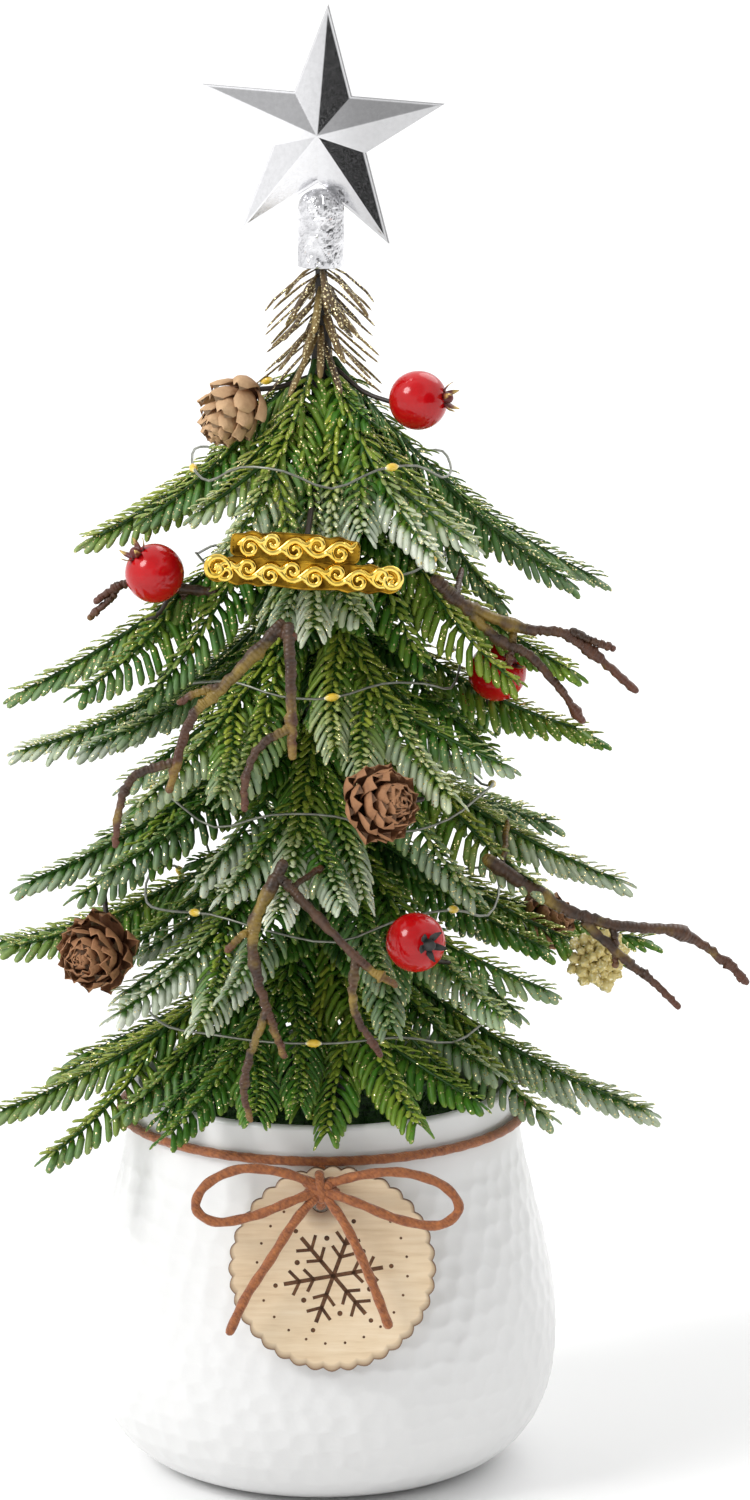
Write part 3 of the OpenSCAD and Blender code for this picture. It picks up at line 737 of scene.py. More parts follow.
def make_lights():
    rng = np.random.default_rng(SEED + 71)
    line = curve_through(wire_route(), 3)
    points, faces = tube_mesh(line, WIRE_D / 2, 8)
    wire = piece(mesh_object("lamp_wire", points, faces, [LAMP_WIRE]), "root", "wire_silver", "led_wire")
    run = np.concatenate([[0], np.cumsum(np.linalg.norm(np.diff(line, axis=0), axis=1))])
    tangents, side, _ = line_frames(line)
    bag = Bag()
    along = []
    for n in range(BEADS):
        i = int(np.searchsorted(run, run[-1] * (n + 0.9) / BEADS)) - 1
        t = tangents[i]
        centre = line[i] + side[i] * 0.3 * MM * rng.uniform(-1, 1)
        body = [centre + t * x * MM for x in (-2.1, -1.5, -0.6, 0.5, 1.4, 2.0)]
        count = bag.add(*tube_mesh(np.array(body), np.array([0.5, 0.95, 1.25, 1.25, 0.9, 0.45]) * MM, 12))
        rings = np.abs(np.linspace(-1, 1, count // 12))
        along += list(np.repeat(rings, 12))
    beads = flip_if_inside_out(bag.make("lamp_beads", [BEAD]))
    attribute(beads, "along", along)
    piece(beads, "root", "bead_warm", "led_beads")


make_lights()


# ---------------------------------------------------------------- needles and branches
RING_AT = np.array([0.0, 0.32, 0.78, 0.95])
RING_WIDTH = np.array([0.50, 0.95, 1.0, 0.66])


class Needles:
    """Flat curved needles gathered into one mesh, with what their material needs to know."""

    def __init__(self):
        self.rows = []

    def add(self, base, start, end, face, length, width, tint, frost, sparkle):
        self.rows.append((base, start, end, face, length, width, tint, frost, sparkle))

    def make(self, name, material, stems):
        base, start, end, face = (np.array([r[i] for r in self.rows]) for i in range(4))
        length, width, tint, frost, sparkle = (np.array([r[i] for r in self.rows]) for i in range(4, 9))
        start /= np.linalg.norm(start, axis=1)[:, None]
        end /= np.linalg.norm(end, axis=1)[:, None]
        count = len(base)
        points = np.empty((count, 17, 3))
        along = np.empty((count, 17))
        for i, (u, w) in enumerate(zip(RING_AT, RING_WIDTH)):
            centre = base + length[:, None] * (start * u + (end - start) * u * u / 2)
            heading = start + (end - start) * u
            heading /= np.linalg.norm(heading, axis=1)[:, None]
            across = np.cross(heading, face)
            across /= np.linalg.norm(across, axis=1)[:, None]
            up = np.cross(across, heading)
            half = (width / 2 * w)[:, None]
            thick = (width * 0.17 * w)[:, None]
            for j, offset in enumerate((across * half, up * thick, -across * half, -up * thick)):
                points[:, i * 4 + j] = centre + offset
                along[:, i * 4 + j] = u
        points[:, 16] = base + length[:, None] * (start + end) / 2
        along[:, 16] = 1.0
        one = [(3, 2, 1, 0)]
        for i in range(3):
            for j in range(4):
                k = (j + 1) % 4
                one.append((i * 4 + j, i * 4 + k, i * 4 + 4 + k, i * 4 + 4 + j))
        one += [(12 + j, 12 + (j + 1) % 4, 16) for j in range(4)]
        faces = [tuple(n * 17 + i for i in f) for n in range(count) for f in one]
        bag = Bag()
        bag.add(points.reshape(-1, 3), [])
        bag.faces = faces
        bag.count = count * 17
        extra = sum(bag.add(*tube_mesh(line, radii, 6)) for line, radii in stems)
        obj = bag.make(name, [material, SPRIG_STEM])
        fill = lambda rows, rest: np.concatenate([np.repeat(rows, 17), np.full(extra, rest)])
        attribute(obj, "along", np.concatenate([along.ravel(), np.full(extra, 0.1)]))
        attribute(obj, "tint", fill(tint, 0.1))
        attribute(obj, "frost", fill(frost, 0.0))
        attribute(obj, "sparkle", fill(sparkle, 0.2))
        index = np.zeros(len(obj.data.polygons), np.int32)
        index[len(faces):] = 1
        obj.data.polygons.foreach_set("material_index", index)
        return obj


def bent_line(root, azimuth, length, droop_start, droop_end, steps, swing=0.0):
    """A line that leaves root below the horizontal and changes its droop and azimuth evenly (radians)."""
    t = (np.arange(steps) + 0.5) / steps
    droop = droop_start + (droop_end - droop_start) * t
    heading = azimuth + swing * t
    step = np.stack([np.cos(droop) * np.cos(heading), np.cos(droop) * np.sin(heading), -np.sin(droop)], 1)
    return np.vstack([root, root + np.cumsum(step, 0) * length / steps])


def dress(needles, line, rng, reach, density, look, start=0.0, top_rows=True):
    """Two combs of needles along a line, and shorter ones on top. look is tint, frost and sparkle."""
    total = line_length(line)
    tangents, sides, _ = line_frames(line)
    stations = max(4, int(total / density))
    tint, frost, sparkle = look

    def at(share):
        share = min(max(share, 0.0), 1.0)
        place = share * (len(line) - 1)
        i = min(int(place), len(line) - 2)
        spot = line[i] + (line[i + 1] - line[i]) * (place - i)
        return share, spot, tangents[i], sides[i], np.cross(sides[i], tangents[i])

    for n in range(stations):
        for side in (-1, 1):
            station = n + 0.25 * side + rng.uniform(-0.12, 0.12)
            t, spot, along, across, top = at(start + (1 - start) * station / (stations - 1))
            size = reach * (0.70 + 0.30 * min(1.0, t * 4)) * (1.0 - 0.50 * max(0.0, t - 0.30) / 0.70)
            tip = t ** 3
            chill = frost * min(1.0, max(0.0, (t - 0.40) / 0.35))
            jitter = rng.normal(0, 0.05, 3)
            first = across * side * 0.85 + along * (0.22 + 0.75 * tip) - UP * 0.10 + jitter
            last = across * side * 0.12 + along * (0.22 + 0.95 * tip) - UP * 1.0 * (1 - 0.55 * tip) + jitter
            face = across * side * 0.75 + top * 0.6 + along * 0.25 + rng.normal(0, 0.08, 3)
            needles.add(spot - top * 0.0003, first, last, face, size * rng.uniform(0.92, 1.06),
                        rng.uniform(2.3, 2.8) * MM,
                        tint + rng.uniform(-0.10, 0.10), chill * rng.uniform(0.7, 1.0),
                        sparkle * rng.uniform(0.5, 1.2))
        if top_rows:
            for side in (-1, 1):
                station = n + 0.3 * side + 0.15
                t, spot, along, across, top = at(start + (1 - start) * station / (stations - 1))
                jitter = rng.normal(0, 0.07, 3)
                first = across * side * rng.uniform(0.2, 0.8) + along * 0.75
                first = first + top * rng.uniform(0.35, 1.1) + jitter
                last = across * side * 0.20 + along * 1.0 + top * 0.1 + jitter
                face = top + rng.normal(0, 0.12, 3)
                chill = frost * min(1.0, max(0.0, (t - 0.50) / 0.35))
                needles.add(spot + top * 0.0004, first, last, face,
                            reach * (1 - 0.4 * t) * rng.uniform(0.40, 0.55),
                            rng.uniform(1.4, 1.8) * MM, tint + 0.26 + rng.uniform(-0.12, 0.12), chill * 0.7,
                            sparkle * rng.uniform(1.1, 1.6))


# How much frost the frosted branches have; the rest follow the seed
FROSTED = {"branch_1b": 0.5, "branch_1c": 0.85, "branch_2b": 0.7, "branch_3a": 0.8,
           "branch_3b": 0.4, "branch_3c": 0.5, "branch_4a": 0.3, "branch_4b": 0.9,
           "branch_4c": 0.5, "branch_5b": 0.8, "branch_5c": 0.3, "branch_6d": 0.5}
# The needle combs' reach from the stem and their spacing along it
NEEDLE_REACH = 18.5 * MM
NEEDLE_PITCH = 3.4 * MM


def make_branch(name, number, root, azimuth, length, mean):
    """A bendable branch: a main spine and side sprigs, dressed with needles."""
    rng = np.random.default_rng(SEED + number)
    tint = rng.uniform(0.35, 0.62)
    frost = FROSTED.get(name, rng.choice([0.0, 0.0, 0.15]))
    sparkle = rng.uniform(0.5, 0.95)
    needles = Needles()
    stems = []
    main = bent_line(root + 1.2 * MM * outward(azimuth, -1), azimuth, length,
                     mean + SPREAD, mean - SPREAD, 28)
    dress(needles, main, rng, NEEDLE_REACH, NEEDLE_PITCH, (tint, frost, sparkle), 0.06)
    stems.append((main, np.linspace(1.1, 0.5, len(main)) * MM))
    for index, (t, share) in enumerate(((0.16, 0.60), (0.24, 0.62), (0.42, 0.50), (0.52, 0.46))):
        side = 1 if index % 2 else -1
        i = int(t * (len(main) - 1))
        heading = azimuth + side * math.radians(rng.uniform(30, 46))
        droop = mean + SPREAD * (1 - 2 * t) + math.radians(rng.uniform(-4, 14))
        twig = bent_line(main[i], heading, length * share * rng.uniform(0.85, 1.08), droop,
                         droop - math.radians(16),
                         14, -side * math.radians(16))
        chance = rng.random()
        white = 0.6 if chance > 0.9 else frost * 0.7
        look = (tint + rng.uniform(-0.18, 0.14), white, sparkle * rng.uniform(0.7, 1.2))
        dress(needles, twig, rng, 16.5 * MM, NEEDLE_PITCH, look, 0.08)
        stems.append((twig, np.linspace(0.9, 0.45, len(twig)) * MM))
    obj = needles.make("needles_" + name.split("_")[1], NEEDLE_GREEN, stems)
    piece(obj, name, "needle_green", name)


for branch_number, branch_joint in enumerate(BRANCH_JOINTS):
    make_branch(branch_joint["child"], branch_number, *BRANCHES[branch_number][:4])


def make_core_needles():
    """Short dark sprigs round the trunk that fill the heart of the tree."""
    rng = np.random.default_rng(SEED + 500)
    needles = Needles()
    stems = []
    low = 158 * MM
    high = max(b[0][2] for b in BRANCHES) - 4 * MM
    count = 66
    for n in range(count):
        t = n / (count - 1)
        z = low + (high - low) * t
        azimuth = n * GOLDEN_ANGLE + rng.uniform(-0.2, 0.2)
        length = (44 - 20 * t) * MM * rng.uniform(0.8, 1.15)
        root = outward(azimuth) * 2.6 * MM + UP * z
        droop = math.radians(rng.uniform(28, 52))
        line = bent_line(root, azimuth, length, droop, droop - 0.35, 10)
        dress(needles, line, rng, 13 * MM, 2.4 * MM, (rng.uniform(0.08, 0.32), 0.0, 0.4), 0.1)
        stems.append((line, np.linspace(0.8, 0.4, len(line)) * MM))
    piece(needles.make("needles_core", NEEDLE_GREEN, stems), "root", "needle_green")


def make_top_tuft():
    """Bronze glitter needles round the trunk just under the foil sleeve."""
    rng = np.random.default_rng(SEED + 600)
    needles = Needles()
    low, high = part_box("top_tuft")
    top, bottom = high.z, low.z
    stems = []
    count = 48
    for n in range(count):
        t = (n / (count - 1)) ** 1.15
        azimuth = n * GOLDEN_ANGLE + rng.uniform(-0.15, 0.15)
        z = top + 2.2 * MM - t * (top - bottom - 8 * MM)
        out = outward(azimuth)
        flat = 0.55 * max(0.0, 1 - 3 * t)
        first = out * 0.95 - UP * (0.85 - flat)
        last = out * 0.90 - UP * (rng.uniform(0.65, 0.95) + flat)
        needles.add(out * 1.5 * MM + UP * z, first, last, out + UP * 0.5,
                    (19 + 5 * t) * rng.uniform(0.85, 1.1) * MM,
                    rng.uniform(2.0, 2.6) * MM, rng.uniform(0.1, 0.8), 0.0, 1.5)
    piece(needles.make("needles_top_tuft", NEEDLE_BRONZE, stems), "root", "needle_bronze", "top_tuft")


make_core_needles()
make_top_tuft()


# ---------------------------------------------------------------- pot
POT_H = 121 * MM
POT_FOOT_R = 40 * MM
POT_BELLY_R = 72 * MM
POT_BELLY_Z = 42 * MM
POT_RIM_R = 59.5 * MM
# Hammered dimples: depth, radius, and their spacing in mm round the pot and up it
DIMPLE_DEPTH = 0.50 * MM
DIMPLE_R = 4.3 * MM
DIMPLE_PITCH = 7.4
DIMPLE_ROW = 6.2


def pot_radius(z):
    """Radius of the pot's outside at a height."""
    below = POT_FOOT_R + (POT_BELLY_R - POT_FOOT_R) * np.sqrt(1 - np.clip(1 - z / POT_BELLY_Z, 0, 1) ** 2.5)
    share = (1 + np.cos(np.pi * (z - POT_BELLY_Z) / (POT_H - POT_BELLY_Z))) / 2
    return np.where(z < POT_BELLY_Z, below, POT_RIM_R + (POT_BELLY_R - POT_RIM_R) * share)


def make_pot():
    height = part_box("pot")[1].z
    inner_floor = 5 * MM
    zs = np.concatenate([np.linspace(0, 6, 14) ** 2 / 6, np.linspace(6.8, 117, 150)]) * MM
    rs = pot_radius(zs)
    wall = 3.5 * MM
    bead = [(POT_RIM_R - wall / 2 + wall / 2 * math.cos(a), height - wall / 2 + wall / 2 * math.sin(a))
            for a in np.radians(np.linspace(-10, 190, 13))]
    inner = [(r - wall, z) for r, z in zip(rs[::-4], zs[::-4]) if inner_floor + 6 * MM < z < height - 6 * MM]
    profile = [(0, 0), (rs[0] - 1.5 * MM, 0.0)] + list(zip(rs, zs)) + bead + inner
    profile += [(POT_FOOT_R, inner_floor), (0, inner_floor)]
    pot = lathe(profile, 360, "pot_glazed", [CERAMIC])
    co = points_of(pot)
    rng = np.random.default_rng(SEED + 7)
    dimples = []
    for row in range(16):
        z = 7.0 + row * DIMPLE_ROW
        r_here = float(np.interp(z * MM, zs, rs)) / MM
        around = int(2 * math.pi * r_here / DIMPLE_PITCH)
        for k in range(around):
            a = 2 * math.pi * (k + 0.5 * (row % 2) + rng.uniform(-0.22, 0.22)) / around
            dimples.append((*outward(a)[:2] * r_here, z + rng.uniform(-1.6, 1.6), rng.uniform(0.7, 1.2)))
    outside = np.hypot(co[:, 0], co[:, 1]) > np.interp(co[:, 2], zs, rs) - 0.8 * MM
    fade = np.clip((107 * MM - co[:, 2]) / (8 * MM), 0, 1) * np.clip(co[:, 2] / (10 * MM), 0, 1)
    near = np.full(len(co), 1e9)
    weight = np.ones(len(co))
    for x, y, z, w in dimples:
        d = np.sqrt(((co - np.array([x, y, z]) * MM) ** 2).sum(1))
        closer = d < near
        near[closer] = d[closer]
        weight[closer] = w
    bowl = np.clip(1 - (near / DIMPLE_R) ** 2, 0, 1)
    swell(co, -np.where(outside, DIMPLE_DEPTH * bowl * weight * fade, 0))
    move_points(pot, co)
    piece(flip_if_inside_out(pot), "root", "ceramic_white", "pot")


def make_moss():
    """A lumpy flocked mat with short tufts standing on it."""
    rng = np.random.default_rng(SEED + 11)
    low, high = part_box("moss_mat")
    rim, top = high.x, high.z
    rings, segments = 34, 128

    def surface(r):
        return top - 4.2 * MM * (r / rim) ** 4

    box_low, box_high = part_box("battery_box")
    margin = 1.5 * MM

    def in_box(x, y):
        wide = (x > box_low.x - margin) & (x < box_high.x + margin)
        return wide & (y > box_low.y - margin) & (y < box_high.y + margin)

    profile = [(0, low.z), (rim - 1 * MM, low.z), (rim, low.z + 4 * MM)]
    profile += [(r, surface(r) - 0.5 * MM) for r in (rim * (1 - i / rings) for i in range(rings))]
    profile.append((0, top - 0.5 * MM))
    mat = lathe(profile, segments, "moss_flock", [MOSS])
    co = points_of(mat)
    lumps = rng.uniform(-1, 1, (240, 2)) * rim
    sizes = rng.uniform(0.2, 1.0, 240) * MM
    raised = np.zeros(len(co))
    for (x, y), h in zip(lumps, sizes):
        raised = np.maximum(raised,
                            h * np.exp(-((co[:, 0] - x) ** 2 + (co[:, 1] - y) ** 2) / (3.2 * MM) ** 2))
    upper = co[:, 2] > low.z + 3 * MM
    co[:, 2] += np.where(upper & ~in_box(co[:, 0], co[:, 1]), raised, 0)
    move_points(mat, co)
    piece(flip_if_inside_out(mat), "root", "moss_green", "moss_mat")
    tufts = Bag()
    for _ in range(1500):
        r, a = rim * 0.97 * math.sqrt(rng.random()), rng.uniform(0, 2 * math.pi)
        x, y = r * math.cos(a), r * math.sin(a)
        if in_box(x, y) or r < 9 * MM:
            continue
        base = np.array([x, y, surface(r) - 0.8 * MM])
        rise = np.array([*rng.normal(0, 0.45, 2), 1.0]) * rng.uniform(1.8, 3.6) * MM
        side = unit(np.cross(rise, rng.normal(0, 1, 3))) * 0.35 * MM
        other = unit(np.cross(rise, side)) * 0.35 * MM
        tufts.add([base + side, base + other, base - side, base - other, base + rise],
                  [(3, 2, 1, 0), (0, 1, 4), (1, 2, 4), (2, 3, 4), (3, 0, 4)])
    piece(tufts.make("moss_tufts", [MOSS], False), "root", "moss_green")


make_pot()
make_moss()


# ---------------------------------------------------------------- star and sleeve
STAR_YAW = -10.0
STAR_ROLL = 3.5
STAR_INNER = 0.382


def make_star():
    """Two faceted half shells that meet at a flat rim."""
    low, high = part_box("star_front")
    spin = np.array(turned(STAR_YAW, "Z") @ turned(STAR_ROLL, "Y"))
    size = (high.z - low.z) / (1 + math.cos(math.radians(36))) / 0.999
    points = node_points("star_front")
    peak = points[np.argmin(points @ spin[:, 1])]
    depth, flange, rim = 6.5 * MM, 0.9 * MM, 0.8 * MM
    centre = peak + spin[:, 1] * depth
    shape = [(0, -depth, 0)]
    for y, grow in ((-rim, -flange), (-rim, 0.0), (0.0, 0.0)):
        for i in range(10):
            r, spread = (size, 2.4) if i % 2 == 0 else (size * STAR_INNER, 1.0)
            x, z, _ = outward(math.radians(90 - 36 * i)) * (r + grow * spread)
            shape.append((x, y, z))
    shape.append((0, 0, 0))
    faces = [(0, 1 + i, 1 + (i + 1) % 10) for i in range(10)] + [(31, 21 + (i + 1) % 10,
                                                                  21 + i) for i in range(10)]
    faces += [tuple(1 + q for q in quad) for quad in ring_quads(3, 10)]
    for name, facing in (("star_front", 1), ("star_rear", -1)):
        local = np.array(shape) * (1, facing, 1)
        half = flip_if_inside_out(mesh_object(name + "_shell", centre + local @ spin.T, faces, [STAR], False))
        bevel(half, 0.22 * MM, 2, 12)
        half.data.polygons.foreach_set("use_smooth", [False] * len(half.data.polygons))
        piece(half, "topper", "star_silver", name)


def make_sleeve():
    """A crinkled foil sleeve with a rounded top."""
    low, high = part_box("topper_sleeve")
    rng = np.random.default_rng(SEED + 21)
    radius = (high.x - low.x) / 2 - 0.25 * MM
    base = low.z
    dome = base + 23.5 * MM
    segments = 110
    profile = [(0, base + 0.2 * MM), (2.2 * MM, base + 0.2 * MM), (radius - 1.2 * MM, base)]
    for t in np.linspace(0, 1, 44):
        z = base + 0.4 * MM + t * (dome - base - 0.4 * MM)
        drop = max(0.0, (t - 0.72) / 0.28)
        profile.append((radius * math.sqrt(max(0.02, 1 - (drop * 0.97) ** 2.2)), z))
    profile.append((0, dome))
    sleeve = lathe(profile, segments, "sleeve_foil", [FOIL])
    co = points_of(sleeve)
    cells = np.stack([rng.uniform(0, 2 * np.pi, 190), rng.uniform(base, dome, 190)], 1)
    angle = np.arctan2(co[:, 1], co[:, 0])
    first, second = np.full(len(co), 1e9), np.full(len(co), 1e9)
    for a, z in cells:
        da = (angle - a + np.pi) % (2 * np.pi) - np.pi
        d = np.hypot(da * radius, co[:, 2] - z)
        second = np.minimum(second, np.maximum(first, d))
        first = np.minimum(first, d)
    ridge = np.clip(1 - (second - first) / (1.1 * MM), 0, 1)
    swell(co, np.where(np.hypot(co[:, 0], co[:, 1]) > 2.5 * MM, 0.38 * MM * ridge - 0.18 * MM, 0))
    move_points(sleeve, co)
    sleeve.data.polygons.foreach_set("use_smooth", [False] * len(sleeve.data.polygons))
    piece(flip_if_inside_out(sleeve), "topper", "foil_silver", "topper_sleeve")


make_star()
make_sleeve()


# ---------------------------------------------------------------- berries
def make_berry(node, body, crown_axis, stem_to, spin=0.0, dark_crown=False):
    """A lacquered berry with five gold sepals round its cup, on a wire."""
    centre = volume_centre(node)
    radius = 9.0 * MM
    turn = frame_along(crown_axis, spin)
    segments, rings = 48, 32
    profile = []
    for i in range(rings + 1):
        a = math.pi * i / rings
        r = math.sin(a) * radius * (1 + 0.02 * math.cos(2 * a))
        z = -math.cos(a) * radius * 0.97
        if i > rings - 5:
            z -= (1 - math.cos((i - rings + 5) / 5 * math.pi / 2)) * 0.7 * MM
        profile.append((r, z))
    ball = lathe(profile, segments, node + "_fruit", [BERRY])
    move_points(ball, points_of(ball) @ turn.T + centre)
    piece(ball, body, "berry_red", node)
    crown = Bag()
    along = []
    for i in range(5):
        out = outward(2 * math.pi * i / 5)
        side = np.array([-out[1], out[0], 0])
        rows = ((1.0, 7.9, 1.5), (2.6, 8.7, 2.1), (3.9, 10.0, 1.5), (4.7, 11.6, 0.4))
        points = []
        for step, (r, z, w) in enumerate(rows):
            for lift in (0.0, -0.5):
                for s in (-1, 1):
                    points.append((out * r + side * s * w / 2 + np.array([0, 0, z + lift])) * MM)
                    along.append(step / 3)
        faces = []
        for step in range(3):
            b = step * 4
            faces += [(b, b + 1, b + 5, b + 4), (b + 3, b + 2, b + 6, b + 7),
                      (b + 2, b, b + 4, b + 6), (b + 1, b + 3, b + 7, b + 5)]
        faces += [(0, 2, 3, 1), (12, 13, 15, 14)]
        crown.add(np.array(points) @ turn.T + centre, faces)
    cup, cup_faces = tube_mesh([np.array([0, 0, 8.0]) * MM, np.array([0, 0, 9.2]) * MM],
                               [2.0 * MM, 1.7 * MM], 14)
    along += [0.2] * crown.add(cup @ turn.T + centre, cup_faces)
    top = flip_if_inside_out(crown.make(node + "_crown", [SOCKET_GREY if dark_crown else CROWN]))
    attribute(top, "along", along)
    piece(top, body, "berry_red")
    start = centre - turn[:, 2] * radius * 0.9 * (0.2 if dark_crown else 1)
    end = np.array(stem_to) * MM
    wire_stem(node + "_stem", body, [start, (start + end) / 2 - 2 * MM * UP, end], 0.7 * MM)


make_berry("berry_1", "root", (0.95, -0.25, 0.12), (4, -2.5, 341), 20)
make_berry("berry_2", "branch_2a", (-0.62, -0.25, 0.74), (-52, -13, 266), 0)
make_berry("berry_3", "branch_5c", (0.45, -0.86, 0.12), (38, -57, 171), 10, True)
make_berry("berry_4", "branch_3d", (0.5, -0.6, 0.6), (53, 9, 232), 30)


# ---------------------------------------------------------------- cones
def make_cone(node, body, axis, sizes, scales, open_angle, material, spin, stem_to):
    """A cone of curved scales set along a spiral round its core."""
    radius, height, scale_length, scale_width = (size * MM for size in sizes)
    rng = np.random.default_rng(SEED + 31 + scales + int(spin))
    centre = volume_centre(node)
    turn = frame_along(axis, spin)
    bag = Bag()
    along = []
    core = [(0, -height * 0.45), (radius * 0.30, -height * 0.38), (radius * 0.36, 0),
            (radius * 0.14, height * 0.36),
            (0, height * 0.42)]
    points, faces = tube_mesh([UP * z for _, z in core], [max(r, 0.4 * MM) for r, _ in core], 14)
    along += [0.0] * bag.add(points @ turn.T + centre, faces)
    across, steps = 5, 6
    for n in range(scales):
        t = (n + 0.5) / scales
        a = n * GOLDEN_ANGLE + rng.uniform(-0.1, 0.1)
        z = height * (-0.42 + 0.80 * t)
        spread = math.radians(open_angle[0] + (open_angle[1] - open_angle[0]) * t + rng.uniform(-7, 7))
        size = scale_length * (0.72 + 0.5 * math.sin(math.pi * min(1, t * 0.9 + 0.12))) * (1 - 0.45 * t)
        width = scale_width * (0.75 + 0.35 * math.sin(math.pi * t)) * (1 - 0.35 * t)
        out = outward(a)
        side = np.array([-out[1], out[0], 0])
        start_r = radius * 0.22 * (1 - 0.6 * t)
        shell = []
        for layer in (0, 1):
            for i in range(steps):
                u = i / (steps - 1)
                lift = spread + (0.55 - 1.15 * u) * 0.5
                reach = size * u
                heading = out * math.sin(lift) + UP * math.cos(lift)
                middle = out * start_r + UP * z + heading * reach
                half = width / 2 * (0.35 + 0.65 * math.sin(math.pi * min(1.0, 0.15 + u * 0.72)) ** 0.8)
                if i == steps - 1:
                    half *= 0.55
                normal = unit(np.cross(side, heading))
                for j in range(across):
                    v = 2 * j / (across - 1) - 1
                    cup = -0.18 * width * v * v * (0.4 + u)
                    wave = 0.05 * width * math.sin(3 * v + n) * u
                    point = middle + side * half * v + normal * (cup + wave - layer * 0.45 * MM)
                    if i == steps - 1:
                        point = point - heading * size * 0.10 * abs(v)
                    shell.append(point)
                    along.append(0.25 + 0.75 * u)
        grid = steps * across
        faces = []
        for i in range(steps - 1):
            for j in range(across - 1):
                q = i * across + j
                faces.append((q, q + 1, q + across + 1, q + across))
                faces.append((grid + q, grid + q + across, grid + q + across + 1, grid + q + 1))
        edge = list(range(across)) + [i * across + across - 1 for i in range(1, steps)]
        edge += [(steps - 1) * across + j for j in range(across - 2, -1, -1)]
        edge += [i * across for i in range(steps - 2, 0, -1)]
        for k, q in enumerate(edge):
            w = edge[(k + 1) % len(edge)]
            faces.append((w, q, grid + q, grid + w))
        bag.add(np.array(shell) @ turn.T + centre, faces)
    cone = flip_if_inside_out(bag.make(node + "_scales", [material]))
    attribute(cone, "along", along)
    piece(cone, body, "cone_brown", node)
    end = np.array(stem_to) * MM
    start = centre - turn[:, 2] * height * 0.35
    wire_stem(node + "_stem", body, [start, (start + end) / 2 - UP * MM, end], 0.8 * MM)


# Node: body; axis; radius, height, scale length and width in mm; number of scales;
# how far they open at the base and the top; finish; spin; where its stem ends
CONES = {
    "cone_1": ("root", (-0.62, -0.50, -0.60), (9.5, 23, 12.5, 8.5), 34, (66, 34), CONE_TAN, 10,
               (-4, -2.5, 338)),
    "cone_2": ("branch_3c", (0.62, -0.76, 0.17), (11, 21, 13.0, 10.0), 42, (80, 20), CONE_BROWN, 40,
               (30, -62, 222)),
    "cone_3": ("branch_4a", (-0.50, -0.86, 0.05), (11, 19, 13.0, 10.5), 44, (84, 15), CONE_BROWN, 75,
               (-66, -26, 190)),
    "cone_4": ("branch_5d", (0.85, -0.40, 0.30), (9, 17, 10.0, 7.8), 38, (78, 24), CONE_BROWN, 5,
               (66, 19, 156)),
}
for cone_node, cone_facts in CONES.items():
    make_cone(cone_node, *cone_facts)


# ---------------------------------------------------------------- gold flower and plaque
def make_flower():
    """A small head of pale gold glitter petals and buds."""
    rng = np.random.default_rng(SEED + 61)
    centre = volume_centre("gold_flower")
    front = unit([0.35, -1.0, 0.25])
    turn = frame_along(front)
    bag = Bag()
    count = 34
    for n in range(count):
        share = (n + 0.5) / count
        a = n * GOLDEN_ANGLE
        r = 8.8 * MM * math.sqrt(share)
        tip = centre + turn @ np.array([r * math.cos(a), r * math.sin(a), (3.2 - 5.0 * share) * MM])
        root = centre - front * 4 * MM
        bag.add(*tube_mesh(curve_through([root, (root + tip) / 2 + front * 0.6 * MM, tip], 4), 0.4 * MM, 6))
        heading = unit(tip - root)
        size = rng.uniform(1.3, 2.1) * MM
        bud = [tip - heading * size, tip - heading * size * 0.4, tip + heading * size * 0.5,
               tip + heading * size]
        bag.add(*tube_mesh(np.array(bud), np.array([0.45, 1.0, 0.95, 0.4]) * size, 10,
                           shape=lambda q, t: 1 + 0.24 * np.cos(5 * q)))
    stem_top = centre + np.array([0, -6, 13]) * MM
    bag.add(*tube_mesh(curve_through([centre, centre + np.array([-1, -2, 8]) * MM, stem_top], 6), 0.7 * MM,
                       8))
    piece(flip_if_inside_out(bag.make("gold_flower_buds", [PALE_GOLD])), "branch_4c", "gold_pale",
          "gold_flower")


PLAQUE_AT = np.array([-4.5, -63, 293]) * MM
PLAQUE_ROLL = 4.0
PLAQUE_LEAN = -6.0


def spiral(centre, start_r, turns, start_angle, direction, steps=26):
    t = np.linspace(0, 1, steps)
    a = math.radians(start_angle) + direction * t * turns * 2 * np.pi
    r = start_r * (1 - 0.78 * t)
    return np.stack([centre[0] + r * np.cos(a), np.zeros(steps), centre[1] + r * np.sin(a)], 1)


